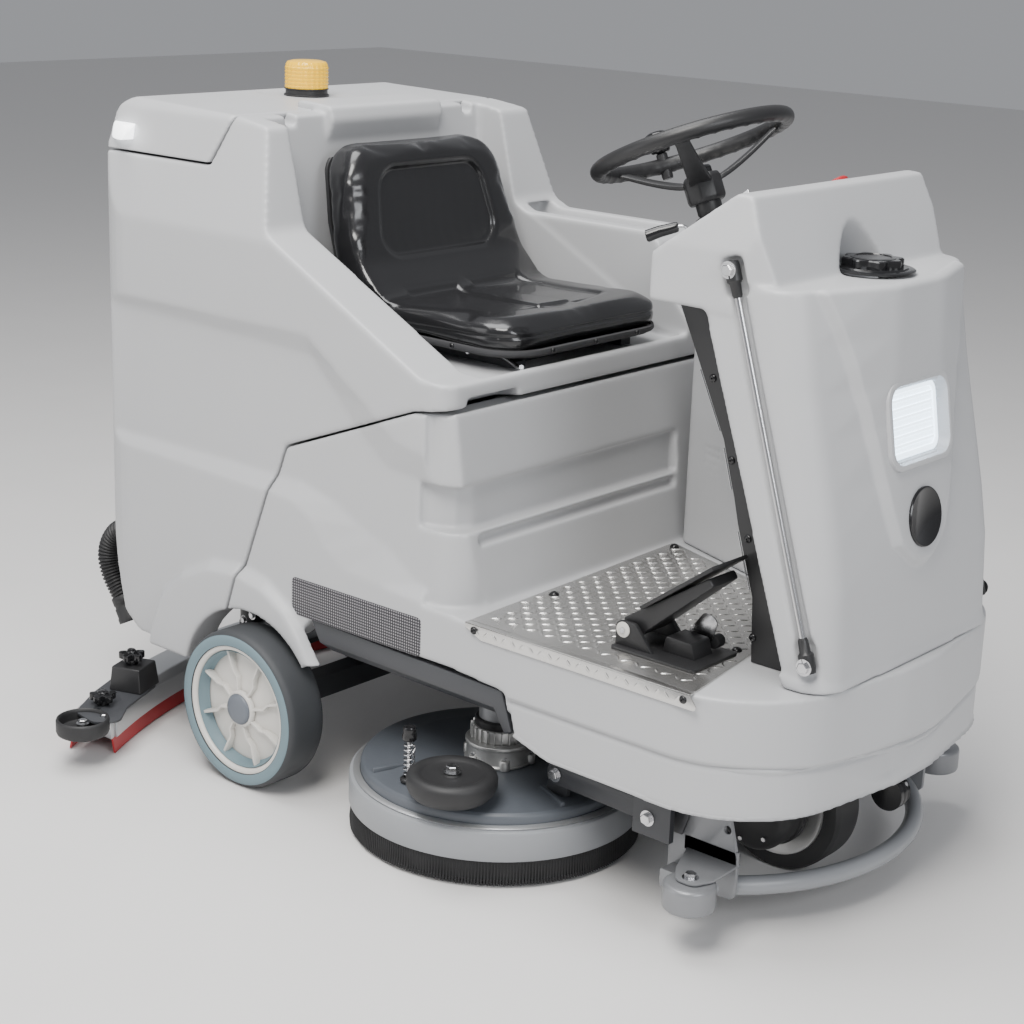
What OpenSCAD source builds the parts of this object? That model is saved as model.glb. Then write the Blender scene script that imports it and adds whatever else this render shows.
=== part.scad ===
// Ride-on floor scrubber. X points forward, Y to the machine's left and Z up.
// The origin is on the floor under the middle of the machine; the modules below
// measure X from the rear axle, and from_axle() moves them to the origin.

/* [Wheels] */
// Distance from the machine's middle back to the rear axle
axle_setback = 315.5; // [310:0.5:320]
// Radius of the two rear wheels
rear_wheel_r = 150; // [145:1:152]
// Width of each rear wheel
rear_wheel_w = 86; // [70:1:90]
// Distance from the centre line to a rear wheel's outer face
rear_wheel_outer = 465; // [460:1:475]
// Radius of the driven front wheel
drive_wheel_r = 125; // [120:1:126]
// Distance from the rear axle to the steering axis
wheelbase = 905; // [895:1:910]

/* [Body] */
// Half the width of the mouldings
body_half = 402; // [395:1:405]
// Height of the platform's top
platform_z = 437; // [433:1:440]
// Height of the deck that carries the seat
seat_deck_z = 815; // [812:1:818]
// Height of the recovery tank's top
tank_top_z = 1222; // [1215:1:1230]
// Wall thickness of the mouldings
wall = 8; // [6:1:9]
// Gap along each parting line
parting_gap = 3; // [2:0.5:4]

/* [Steering] */
// Outer radius of the steering wheel
steering_r = 177; // [170:1:180]
// Backward tilt of the steering wheel
steering_tilt = 23.7; // [20:0.1:26]

/* [Brushes and squeegee] */
// Distance from the centre line to each brush's axis
brush_y = 243; // [238:1:246]
// Radius of each brush
brush_r = 216; // [205:1:218]
// Outer radius of each splash skirt
skirt_r = 263; // [261:1:266]
// Radius of the squeegee's curve
squeegee_curve_r = 1000; // [950:10:1100]

/* [Hidden] */
$fn = 48;

rail_z = [290, 328];
rail_y = [110, 150];
pivot_x = -380;
pivot_z = 309;
pin_r = 6;
bore_r = 6.06;
parting = [[-71, 300], [-71, 318], [-48, 388], [50, 646], [372, 771], [480, 782]];
front_wall = [[446, 782], [478, platform_z]];
lid_z = 1122;
lid_hinge_x = -475;
lid_hinge_z = 1121;
lid_front = [[-166, lid_z], [-128, 1204], [-120, tank_top_z + 10]];
arch_r = 177;
arch_x = -15;
steer_centre = [621, 0, 1213];
hub_drop = 74;
shelf_z = 1050;
fill_x = 984;
bumper_roller_x = 978;
bumper_roller_y = 388;
bumper_roller_z = 101;
brush_x = 447;
deck_z = 112;
arm_pivot = [850, 0, 172];
arm_deck_pivot = [640, 0, 178];
deck_roller_x = 522;
deck_roller_y = 446;
deck_pin_x = 415;
deck_pin_y = 438;
squeegee_x = -462;
squeegee_pivot = [-330, 0, 128];
squeegee_arm_pivot = [-120, 0, 205];
squeegee_roller_x = -272;
squeegee_roller_y = 602;
roller_plate_z = 58;
pedal_pivot = [768, -268, 472];
tie_down_x = 985;
tie_down_z = 185;
tie_down_r = 7;
hose_r = 21;
hose_route = [[-455, -330, 371], [-474, -332, 367], [-496, -336, 352], [-511, -340, 326],
    [-514, -342, 296], [-505, -342, 268], [-489, -341, 244], [-472, -340, 224]];

// ---- geometry helpers ----

function unit(v) = v / norm(v);

// Points of an arc that rounds corner b of the path a-b-c to radius r
function corner_arc(a, b, c, r, n) =
    let (
        u = unit(a - b), v = unit(c - b),
        half = acos(max(-1, min(1, u * v))) / 2,
        first = b + u * (r / tan(half)), last = b + v * (r / tan(half)),
        mid = b + unit(u + v) * (r / sin(half)),
        from = atan2(first.y - mid.y, first.x - mid.x),
        to = atan2(last.y - mid.y, last.x - mid.x),
        sweep = (to - from + 540) % 360 - 180
    ) [for (i = [0 : n]) mid + r * [cos(from + sweep * i / n), sin(from + sweep * i / n)]];

// Outline through [x, y, radius] corners; a missing or zero radius leaves a sharp corner
function outline(points, n = 5) = [
    for (i = [0 : len(points) - 1])
        let (
            count = len(points),
            a = points[(i + count - 1) % count], b = points[i], c = points[(i + 1) % count],
            r = len(b) > 2 ? b[2] : 0
        )
        each (r > 0
            ? corner_arc([a.x, a.y], [b.x, b.y], [c.x, c.y], r, n)
            : [[b.x, b.y]])
];

// The same outline closed by its own mirror image across the machine's centre line
function both_sides(points) = concat(points,
    [for (i = [len(points) - 1 : -1 : 0])
        [points[i].x, -points[i].y, len(points[i]) > 2 ? points[i][2] : 0]]);

module from_axle() { translate([-axle_setback, 0, 0]) children(); }

module both_hands() { children(); mirror([0, 1, 0]) children(); }

// XZ outline between two Y positions
module side_slab(points, y0, y1)
    translate([0, y1, 0]) rotate([90, 0, 0]) linear_extrude(y1 - y0) polygon(points);

// XY outline between two heights
module plan_slab(points, z0, z1)
    translate([0, 0, z0]) linear_extrude(z1 - z0) polygon(points);

// YZ outline between two X positions
module front_slab(points, x0, x1)
    translate([x0, 0, 0]) rotate([90, 0, 90]) linear_extrude(x1 - x0) polygon(points);

module block(low, high) translate(low) cube(high - low);

module cross_rod(x, z, r, y0, y1)
    translate([x, y1, z]) rotate([90, 0, 0]) cylinder(r = r, h = y1 - y0);

module upright(x, y, z0, z1, r) translate([x, y, z0]) cylinder(r = r, h = z1 - z0);

module rod(a, b, r) {
    d = b - a;
    translate(a)
        rotate([0, atan2(norm([d.x, d.y]), d.z), atan2(d.y, d.x)])
            cylinder(r = r, h = norm(d));
}

// Ring i of a round tube swept along a route that never runs along the normal
function tube_ring(route, i, r, sides, normal) =
    let (
        last = len(route) - 1,
        t = unit(route[min(i + 1, last)] - route[max(i - 1, 0)]),
        side = unit(cross(t, normal)),
        up = cross(t, side)
    ) [for (k = [0 : sides - 1])
        route[i] + r * (cos(360 * k / sides) * side + sin(360 * k / sides) * up)];

module tube(route, r, normal = [0, 0, 1], sides = 10) {
    rings = len(route);
    polyhedron(
        [for (i = [0 : rings - 1]) each tube_ring(route, i, r, sides, normal)],
        concat(
            [[for (k = [0 : sides - 1]) k]],
            [for (i = [0 : rings - 2], k = [0 : sides - 1])
                let (next = (k + 1) % sides)
                [i * sides + k, (i + 1) * sides + k, (i + 1) * sides + next, i * sides + next]],
            [[for (k = [sides - 1 : -1 : 0]) (rings - 1) * sides + k]]));
}

// ---- chassis ----

module chassis_frame() color([0.2, 0.21, 0.22]) {
    both_hands() {
        difference() {
            block([pivot_x - 14, rail_y[0], rail_z[0]], [790, rail_y[1], rail_z[1]]);
            cross_rod(pivot_x, pivot_z, bore_r, 0, 200);
        }
        block([-30, rail_y[0], 166], [30, rail_y[1], rail_z[0]]);
        block([squeegee_arm_pivot.x - 22, 60, 182], [squeegee_arm_pivot.x + 22, 74, rail_z[0]]);
        block([arm_pivot.x - 30, 322, 140], [arm_pivot.x + 45, 334, 328]);
        block([760, 148, 300], [1080, 190, 330]);
    }
    for (x = [-200, squeegee_arm_pivot.x - 22, 300, 700])
        block([x, -rail_y[0], rail_z[0]], [x + 44, rail_y[0], rail_z[1]]);
    difference() {
        plan_slab([[760, -334], [985, -334], [1080, -200], [1080, 200], [985, 334], [760, 334]],
            328, 334.8);
        upright(wheelbase, 0, 300, 350, 30.06);
    }
    both_hands() cross_rod(squeegee_arm_pivot.x, squeegee_arm_pivot.z, pin_r, 44, 74);
    both_hands() cross_rod(arm_pivot.x, arm_pivot.z, pin_r, 300, 334);
}

platform_plan = outline(both_sides([[-95, -body_half, 0], [1100, -body_half, 165], [1166, -50, 280]]));

module arch_cut(reach = 0)
    both_hands() cross_rod(arch_x, rear_wheel_r, arch_r + reach, 352, 460);

module solution_tank() color([0.72, 0.73, 0.74]) difference() {
    intersection() {
        side_slab(concat(
            [for (p = parting) if (p.y < 775) p],
            [[446 - 8, 775], front_wall[1], [1180, platform_z], [1180, 236], [884, 236],
                [684, 240], [610, 262], [590, 335], [470, 345], [130, 345], [64, 272]]),
            -body_half, body_half);
        plan_slab(platform_plan, 200, 800);
        front_slab([[-body_half - 1, 200], [-body_half - 1, 400], [-body_half + 4, 437], [-392, 700],
            [-380, 800], [380, 800], [392, 700], [body_half - 4, 437], [body_half + 1, 400],
            [body_half + 1, 200]], -200, 1200);
    }
    arch_cut();
    // space under the platform between the side skirts, open to the floor
    block([-200, -352, 200], [560, 352, 345]);
    plan_slab(outline(both_sides([[500, -374, 0], [1074, -374, 140], [1136, -50, 220]])), 200, 336);

    // battery compartment, open at the top
    block([70, -310, 352], [395, 310, 900]);
    block([60, -310, 640], [395, 310, 900]);
}

cowl_base = outline(both_sides([[1052, -272, 0], [1130, -270, 40], [1146, -90, 160]]));
cowl_top = outline(both_sides([[835, -266, 0], [1010, -262, 46], [1084, -60, 100]]));
cowl_base_in = outline(both_sides([[1040, -262, 0], [1121, -260, 34], [1136, -86, 150]]));
cowl_top_in = outline(both_sides([[825, -256, 0], [1002, -252, 40], [1074, -56, 92]]));

module cowl_shell(base, top, low, high) hull() {
    plan_slab(base, low, low + 1);
    plan_slab(top, high - 1, high);
}

dash_side = [[655, 1002], [645, 1048], [748, 1080], [890, 1184], [918, 1182], [976, 1040], [976, 1002]];
dash_plan = outline(both_sides([[640, -110], [748, -268], [925, -268], [990, -240]]));

module dash_form() intersection() {
    side_slab(dash_side, -268, 268);
    plan_slab(dash_plan, 900, 1300);
}

module cowl_hollow() difference() {
    union() {
        cowl_shell(cowl_base, cowl_top, platform_z + 0.5, shelf_z);
        dash_form();
    }
    cowl_shell(cowl_base_in, cowl_top_in, platform_z - 1, shelf_z - wall);
    // hollow dash, open to the cowl below
    intersection() {
        side_slab([[668, 990], [660, 1040], [744, 1070], [886, 1174], [911, 1172], [966, 1030],
            [966, 990]], -258, 258);
        plan_slab(outline(both_sides([[654, -102], [756, -258], [920, -258], [980, -230]])), 900, 1300);
    }
}

module front_cowl() color([0.74, 0.75, 0.76]) {
    difference() {
        union() {
            cowl_hollow();
            // wall behind the hollow that the filler cap sits in
            intersection() {
                translate([fill_x, 0, shelf_z - wall]) cylinder(r1 = 83, r2 = 47, h = 104);
                dash_form();
            }
        }
        // seats for the filler ring and its cap, the lamp and the steering column
        upright(fill_x, 0, 1000, 1100, 56);
        translate([fill_x, 0, shelf_z]) cylinder(r1 = 73, r2 = 38, h = 94);
        translate([1080, 0, 829]) rotate([0, 82, 0]) translate([0, 0, 40])
            cube([124, 168, 160], center = true);
        translate(steer_centre) rotate([0, -steering_tilt, 0]) translate([0, 0, -270])
            cylinder(r = 36, h = 200);
        // seat for the control panel in the dash's sloping face
        translate([822, 0, 1134]) rotate([0, -36.2, 0]) cube([132, 400, 30], center = true);
        // seat for the badge, and the hole that the lever's wire turns in
        translate([1114.5, 0, 674]) rotate([0, 84.2, 0]) cylinder(r = 49.4, h = 40);
        upright(lever_root.x, lever_root.y, lever_root.z - 60, lever_root.z + 30, 3.06);
        // grooves that the stay rods lie in
        both_hands() rod(stay_top - 60 * stay_way, stay_foot + 60 * stay_way, 15);
    }
    // neck that the filler cap closes
    difference() {
        upright(fill_x, 0, 960, shelf_z + 4, 56);
        upright(fill_x, 0, 950, 1100, 48);
    }
}

module dash_panel() color([0.08, 0.08, 0.09])
    translate([822, 0, 1134]) rotate([0, -36.2, 0]) {
        translate([0, 0, -4]) cube([131, 399, 10], center = true);
        translate([8, 30, 3]) cube([70, 110, 5], center = true);
        translate([0, -110, 0]) cylinder(r = 11, h = 12);
        translate([0, 150, 0]) cylinder(r = 16, h = 22);
    }

module headlight_bezel() color([0.5, 0.51, 0.53])
    translate([1080, 0, 829]) rotate([0, 82, 0]) difference() {
        cube([123, 167, 40], center = true);
        translate([0, 0, 12]) cube([109, 150, 40], center = true);
    }

module headlight_lens() color([0.8, 0.92, 1])
    translate([1080, 0, 829]) rotate([0, 82, 0])
        translate([0, 0, -7.9]) linear_extrude(12)
            polygon(outline([[-54, -74, 14], [54, -74, 14], [54, 74, 14], [-54, 74, 14]]));

module badge_disc() color([0.07, 0.07, 0.08])
    translate([1114.8, 0, 674]) rotate([0, 84.2, 0]) cylinder(r = 49, h = 11);

module footplate() color([0.75, 0.75, 0.74]) {
    plan_slab([[505, -392], [482, 212], [560, 184], [720, 132], [900, 80], [925, -160], [966, -392]],
        platform_z + 0.2, platform_z + 3.2);
    side_slab([[505, platform_z + 3], [505, platform_z - 6], [540, platform_z - 22],
        [985, platform_z - 22], [966, platform_z + 3]], -405.6, -403);
    block([505, -405.6, platform_z + 0.2], [966, -391.9, platform_z + 3.2]);
}

module dome_bolt(p, axis = [0, 0, 1]) translate(p)
    rotate([axis.y > 0 ? -90 : axis.y < 0 ? 90 : 0, 0, 0]) cylinder(r1 = 8, r2 = 4, h = 5);

module deck_bolts() color([0.1, 0.1, 0.1]) {
    for (p = [[520, -190], [500, 190], [905, -190], [870, 60]])
        dome_bolt([p.x, p.y, platform_z + 3.2]);
    for (x = [525, 955]) dome_bolt([x, -405.6, platform_z - 8], [0, -1, 0]);
}

console_plan = [[482, 396], [482, 232], [720, 142], [905, 142], [1000, 200], [1040, 396]];

module left_console() color([0.7, 0.71, 0.72]) difference() {
    intersection() {
        plan_slab(console_plan, platform_z + 0.2, 1000);
        side_slab([[482, platform_z], [482, 900], [640, 990], [820, 990], [1028, platform_z]], 100, 396);
    }
    intersection() {
        plan_slab([[490, 388], [490, 240], [722, 150], [900, 150], [992, 205], [1030, 388]], 430, 1000);
        side_slab([[490, 430], [490, 892], [642, 982], [812, 982], [1020, 430]], 100, 388);
    }
    for (z = [540 : 14 : 640]) block([540, 150, z], [590, 228, z + 5]);
    // clearance for the cowl and the column cover
    side_slab([[818, 1001], [1030, platform_z - 1], [1300, platform_z - 1], [1300, 1001]], 100, 400);
    side_slab([[764, 1002], [814, 899], [867, 789], [894, 699], [904, 659], [941, 544],
        [947, platform_z - 1], [1300, platform_z - 1], [1300, 1002]], 100, 137);
}

module column_cover() color([0.06, 0.06, 0.06]) difference() {
    side_slab([[765, 1001], [829, 1001], [842, 1001], [1038, platform_z + 0.6],
        [948, platform_z + 0.6], [942, 545], [905, 660], [895, 700], [868, 790], [815, 900]], -214, 136);
    side_slab([[775, 993], [836, 993], [1026, 446], [956, 446], [950, 546], [913, 662], [903, 702],
        [876, 793], [823, 903]], -207, 129);
}

module steering_column() color([0.08, 0.08, 0.08])
    translate(steer_centre) rotate([0, -steering_tilt, 0]) {
        translate([0, 0, -230]) cylinder(r = 10, h = 230 - hub_drop - 8);
        for (i = [0 : 3]) translate([0, 0, -hub_drop - 46 - 14 * i - 14])
            cylinder(r1 = 30 + i, r2 = 22 + i, h = 14.1);
    }

stay_top = [902, -267, 1066];
stay_foot = [1086, -269, 490];
stay_way = unit(stay_foot - stay_top);

module cowl_stays() both_hands() {
    color([0.8, 0.8, 0.82]) rod(stay_top, stay_foot, 5);
    color([0.1, 0.1, 0.1]) {
        rod(stay_top - 20 * stay_way, stay_top + 30 * stay_way, 11);
        rod(stay_foot - 30 * stay_way, stay_foot + 20 * stay_way, 11);
    }
}

module side_decals() color([0.12, 0.12, 0.13]) both_hands()
    block([85, -body_half - 2.6, 347], [402, -body_half - 0.6, 417]);

module front_bumper() color([0.4, 0.41, 0.43]) {
    bend = [for (a = [-66 : 12 : 66]) [775 + 325 * cos(a), 325 * sin(a), 78]];
    tube(bend, 16);
    both_hands() {
        difference() {
            block([872, -302, 66], [1006, -294, 327.6]);
            cross_rod(tie_down_x, tie_down_z, tie_down_r, -320, -280);
        }
        block([905, -404, bumper_roller_z + 24], [1008, -293, bumper_roller_z + 29]);
        upright(bumper_roller_x, -bumper_roller_y, bumper_roller_z - 30, bumper_roller_z + 34, 7);
    }
}

module bumper_roller(side) color([0.5, 0.51, 0.53])
    translate([bumper_roller_x, side * bumper_roller_y, bumper_roller_z - 23]) rotate_extrude()
        polygon(outline([[7.05, 0], [43, 0, 6], [43, 46, 6], [7.05, 46]]));

module rear_axle() color([0.3, 0.3, 0.31]) {
    block([-24, -352, 126], [24, 352, 165.9]);
    both_hands() cross_rod(0, rear_wheel_r, 12, 352, rear_wheel_outer - 18.5);
}

wheel_inner = rear_wheel_outer - rear_wheel_w;

module rear_tyre(side) color([0.25, 0.29, 0.32])
    translate([0, side * (rear_wheel_outer - rear_wheel_w / 2), rear_wheel_r]) rotate([90, 0, 0])
        rotate_extrude($fn = 72) polygon(outline([
            [122.1, -rear_wheel_w / 2], [142, -rear_wheel_w / 2, 3], [rear_wheel_r, -rear_wheel_w / 2 + 9, 8],
            [rear_wheel_r, rear_wheel_w / 2 - 9, 8], [142, rear_wheel_w / 2, 3], [122.1, rear_wheel_w / 2]]));

module rear_hub(side) color([0.88, 0.87, 0.84])
    translate([0, side * rear_wheel_outer, rear_wheel_r]) rotate([side > 0 ? 90 : -90, 0, 0]) {
        rotate_extrude($fn = 72) polygon([[12.05, 18], [24, 18], [30, 16], [108, 30], [114, 6], [122, 4],
            [122, rear_wheel_w - 4], [112, rear_wheel_w - 4], [108, 44], [30, 40], [30, 80], [12.05, 80]]);
        for (i = [0 : 7]) rotate([0, 0, 45 * i]) translate([24, -3, 10]) cube([88, 6, 24]);
        translate([0, 0, 3]) cylinder(r = 28, h = 15.1);
    }

module battery_pack() color([0.15, 0.15, 0.17])
    for (x = [80, 236], y = [-300, 10]) {
        block([x, y, 352.2], [x + 150, y + 290, 590]);
        for (t = [50, 240]) upright(x + 75, y + t, 589, 606, 10);
    }

module pedal_base() color([0.07, 0.07, 0.07]) {
    plan_slab(outline([[752, -330, 6], [918, -330, 6], [918, -205, 6], [752, -205, 6]]),
        platform_z + 3.4, platform_z + 7.4);
    for (y = [-312, -224]) side_slab(outline([[752, platform_z + 7], [820, platform_z + 7],
        [784, pedal_pivot.z + 14, 8], [752, pedal_pivot.z + 14, 8]]), y - 4, y + 4);
    cross_rod(pedal_pivot.x, pedal_pivot.z, 5, -322, -214);
    block([830, -290, platform_z + 7], [890, -240, platform_z + 30]);
}

module water_pump() color([0.12, 0.12, 0.13]) {
    block([460, -60, 300], [560, 60, 334.9]);
    translate([560, 0, 316]) rotate([0, 90, 0]) cylinder(r = 16, h = 60);
}

module controller_box() color([0.25, 0.25, 0.27]) block([600, 250, 470], [760, 380, 720]);

module horn() color([0.05, 0.05, 0.05]) {
    translate([1072, 60, 165]) rotate([90, 0, 0]) cylinder(r = 30, h = 34, center = true);
    block([1064, 52, 190], [1080, 68, 327.8]);
}

// ---- steered drive wheel ----

module steer_fork() color([0.22, 0.22, 0.23]) difference() {
    union() {
        upright(wheelbase, 0, 288, 334.6, 30);
        upright(wheelbase, 0, 276, 299.6, 70);
        block([wheelbase - 32, 44, 100], [wheelbase + 32, 54, 280]);
        block([wheelbase - 60, -70, 262], [wheelbase + 60, 70, 280]);
        upright(wheelbase, 0, 262, 280, 75);
    }
    cross_rod(wheelbase, drive_wheel_r, 14.06, 0, 100);
}

module drive_tyre() color([0.07, 0.07, 0.07])
    translate([wheelbase, 0, drive_wheel_r]) rotate([90, 0, 0]) rotate_extrude($fn = 72)
        polygon(outline([[96.1, -38], [drive_wheel_r, -38, 6], [drive_wheel_r, 38, 6], [96.1, 38]]));

module drive_hub() color([0.7, 0.7, 0.68]) {
    cross_rod(wheelbase, drive_wheel_r, 96, -40, 38);
    cross_rod(wheelbase, drive_wheel_r, 68, -118, -39);
    cross_rod(wheelbase, drive_wheel_r, 14, 37, 60);
}

// ---- controls ----

module steering_wheel() color([0.07, 0.07, 0.07])
    translate(steer_centre) rotate([0, -steering_tilt, 0]) difference() {
        steering_wheel_form();
        translate([0, 0, -hub_drop - 60]) cylinder(r = 10.06, h = 54);
    }

module steering_wheel_form() {
        rotate_extrude($fn = 72) translate([steering_r - 14, 0]) circle(r = 14, $fn = 24);
        for (a = [60, 180, 300]) rotate([0, 0, a])
            rod([34, 0, -hub_drop + 14], [steering_r - 16, 0, -2], 8);
        translate([0, 0, -hub_drop - 26]) cylinder(r = 32, h = 52, $fn = 8);
        translate([0, 0, -hub_drop - 42]) cylinder(r = 22, h = 20);
        rotate([0, 0, 145]) translate([steering_r - 14, 0, -24]) cylinder(r = 9, h = 46);
}

module spinner_knob() color([0.06, 0.06, 0.06])
    translate(steer_centre) rotate([0, -steering_tilt, 0]) rotate([0, 0, 145])
        translate([steering_r - 14, 0, 22.4]) rotate_extrude()
            polygon(outline([[0, 0], [16, 0, 3], [24, 14, 8], [24, 30, 8], [12, 38, 8], [0, 38]]));

module accelerator_pedal() color([0.06, 0.06, 0.06]) difference() {
    union() {
        side_slab(outline([[756, pedal_pivot.z - 8, 6], [790, pedal_pivot.z - 8, 6], [926, 580, 4],
            [918, 592, 4], [756, pedal_pivot.z + 14, 8]]), -304, -232);
        side_slab([[800, 512], [936, 612], [932, 618], [796, 518]], -316, -220);
    }
    cross_rod(pedal_pivot.x, pedal_pivot.z, 5.06, -330, -200);
}

lever_root = [775, -215, 1101];

module dash_lever() color([0.06, 0.06, 0.06]) {
    rod(lever_root, lever_root + [0, 0, 16], 3);
    rod(lever_root + [0, 0, 14], lever_root + [-14, -10, 13], 3);
    rod(lever_root + [-11, -8, 13], lever_root + [-53, -37, -4], 10);
}

module filler_cap() color([0.05, 0.05, 0.05]) translate([fill_x, 0, shelf_z + 4.4]) {
    rotate_extrude() polygon([[0, 0], [69, 0], [69, 4], [50, 7], [44, 7], [44, 18], [0, 18]]);
    for (i = [0 : 7]) rotate([0, 0, 45 * i]) translate([42, 0, 6]) cylinder(r = 9, h = 13);
}

// ---- recovery tank, lid and seat ----

tank_section = outline([[-body_half, 190], [-body_half, 1010, 60], [-350, 1205, 18],
    [-330, tank_top_z + 1, 10], [330, tank_top_z + 1, 10], [350, 1205, 18], [body_half, 1010, 60],
    [body_half, 190]]);
tank_side = outline([[-350, 200, 12], [-392, 232, 20], [-458, 420, 60], [-464, 575, 14], [-446, 596, 14],
    [-442, 850, 30], [-484, 925, 30], [-470, lid_z - 12, 8], [-458, lid_z, 4], [-445, tank_top_z, 40],
    [-120, 1212, 30], [-36, 1200, 14], [9, 1025, 30], [385, 832, 20], [446, 826, 8],
    [446, 782 + parting_gap], [372, 771 + parting_gap], [50 - 4, 646 + parting_gap],
    [-48 - 4, 388 + parting_gap], [-71 - 4, 318 + parting_gap], [-75, 300], [-75, 215], [-190, 200]]);
tank_plan = outline(both_sides([[-486, -body_half, 110], [446, -body_half, 40]]));

module tank_form() intersection() {
    side_slab(tank_side, -body_half, body_half);
    front_slab(tank_section, -500, 500);
    plan_slab(tank_plan, 150, 1300);
}

module lid_zone(gap) side_slab([[-600, lid_z + gap], [lid_front[0].x - gap, lid_z + gap],
    [lid_front[1].x - gap, lid_front[1].y], [lid_front[2].x - gap, lid_front[2].y], [-600, 1300]],
    -500, 500);

module recovery_tank() color([0.74, 0.75, 0.76]) {
    // hinge lugs with their pins
    both_hands() {
        block([pivot_x - 14, 154, pivot_z - 14], [pivot_x + 14, 168, 350]);
        cross_rod(pivot_x, pivot_z, pin_r, 104, 156);
    }
    // lugs that the lid's pins turn in
    both_hands() difference() {
        block([lid_hinge_x - 6, 104, 1090], [lid_hinge_x + 10, 114, lid_hinge_z + 6]);
        cross_rod(lid_hinge_x, lid_hinge_z, 4.06, 100, 120);
    }
    tank_moulding();
}

module tank_moulding() difference() {
    union() {
        tank_form();
        // armrest on the left, higher than the tank side behind the seat
        intersection() {
            side_slab([[-120, 900], [-60, 1008], [335, 1008], [366, 990], [405, 894], [446, 850],
                [446, 826], [-120, 826]], 270, 396);
            plan_slab(tank_plan, 800, 1100);
        }
    }
    // seat recess
    side_slab([[-105, 1300], [-62, seat_deck_z], [430, seat_deck_z], [430, 860], [600, 860],
        [600, 1300]], -300, 268);
    lid_zone(0);
    // water space behind the seat, open under the lid
    block([-438, -386, 350], [-130, 386, 1040]);
    block([-438, -340, 1030], [-180, 340, 1200]);
    // space under the seat deck, above the batteries
    side_slab([[58, 600], [62, 668], [376, 786], [434, 794], [434, 804], [0, 804], [-30, 700],
        [-30, 560]], -386, 386);
    arch_cut();
    // clearance round the frame, between the side skirts
    block([-400, -352, 150], [-60, 352, 336]);
    block([-412, -153, 260], [-360, 153, 336]);
}

module vacuum_motor() color([0.3, 0.31, 0.33]) {
    upright(-230, 180, 350.2, 500, 70);
    upright(-230, 180, 499, 540, 50);
}

module drain_hose() color([0.05, 0.05, 0.05]) tube(hose_route, hose_r, [0, 1, 0]);

module drain_cuff() color([0.06, 0.06, 0.06]) {
    // clip that holds the cuff to the tank's back, and the cuff itself
    rod([-472, -340, 224], [-448, -338, 180], 24);
    side_slab([[-446, 198], [-436, 198], [-403.6, 262], [-427.2, 329], [-433, 329], [-410, 263], [-446, 206]],
        -352, -328);
}

module seat_rails() color([0.1, 0.1, 0.1]) {
    for (y = [-150, 150]) block([60, y - 14, seat_deck_z + 0.2], [390, y + 14, seat_deck_z + 12]);
    for (x = [90, 330]) block([x, -136.2, seat_deck_z + 0.2], [x + 30, 136.2, seat_deck_z + 6]);
}

module tank_lid() color([0.76, 0.77, 0.78]) {
    difference() {
        intersection() { tank_form(); lid_zone(parting_gap); }
        block([-440, -330, 1100], [-176, 330, 1190]);
        // seats for the corner lamps and the beacon
        both_hands() block([-470, -420, 1145], [-300, -352, 1177]);
        upright(-304, 0, 1216.8, 1300, 44.3);
    }
    // hinge knuckles with their pins
    both_hands() {
        cross_rod(lid_hinge_x, lid_hinge_z, 4, 62, 118);
        block([lid_hinge_x - 2, 62, lid_hinge_z + 2.4], [-450, 100, lid_hinge_z + 14]);
    }
}

module lid_lights() color([1, 1, 1]) both_hands() intersection() {
    block([-452, -420, 1146], [-301, -352.2, 1176]);
    tank_form();
}

module beacon() translate([-304, 0, 1217]) {
    color([0.1, 0.1, 0.1]) cylinder(r = 44, h = 14);
    color([1, 0.7, 0.1]) rotate_extrude()
        polygon(outline([[0, 13], [42, 13], [42, 60, 6], [0, 64]]));
}

seat_x = 30;

module seat_pan() color([0.08, 0.08, 0.08]) {
    for (y = [-150, 150]) block([90, y - 9, seat_deck_z + 12.4], [370, y + 9, seat_deck_z + 26]);
    plan_slab(outline([[30, -215, 40], [428, -215, 60], [428, 215, 60], [30, 215, 40]]),
        seat_deck_z + 25.8, seat_deck_z + 36);
    side_slab([[-8, seat_deck_z + 25.9], [60, seat_deck_z + 25.9], [60, seat_deck_z + 35.9],
        [14, seat_deck_z + 35.9], [10, 904], [-57.5, 1135], [-64, 1133], [2, 903], [4, 860]], -200, 200);
}

module seat_cushion() color([0.05, 0.05, 0.05]) intersection() {
    side_slab(outline([[16, seat_deck_z + 36.4], [425, seat_deck_z + 36.4, 8], [448, 872, 14],
        [415, 908, 20], [120, 900, 60], [60, 960, 30], [12, 1160, 26], [-42, 1176, 16], [-60, 1150, 10],
        [12, 905, 10]]), -238, 238);
    plan_slab(outline([[-90, -238, 30], [448, -238, 80], [448, 238, 80], [-90, 238, 30]]), 800, 1200);
}

// ---- brush deck ----

module lift_arms() color([0.12, 0.12, 0.13]) {
    both_hands() difference() {
        side_slab(outline([[arm_pivot.x + 18, arm_pivot.z + 18, 10],
            [arm_pivot.x + 18, arm_pivot.z - 18, 10],
            [arm_deck_pivot.x - 18, arm_deck_pivot.z - 18, 10],
            [arm_deck_pivot.x - 18, arm_deck_pivot.z + 18, 10]]), 306, 316);
        cross_rod(arm_pivot.x, arm_pivot.z, bore_r, 290, 330);
        cross_rod(arm_deck_pivot.x, arm_deck_pivot.z, bore_r, 290, 330);
    }
    cross_rod(730, 176, 11, -306.2, 306.2);
}

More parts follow.
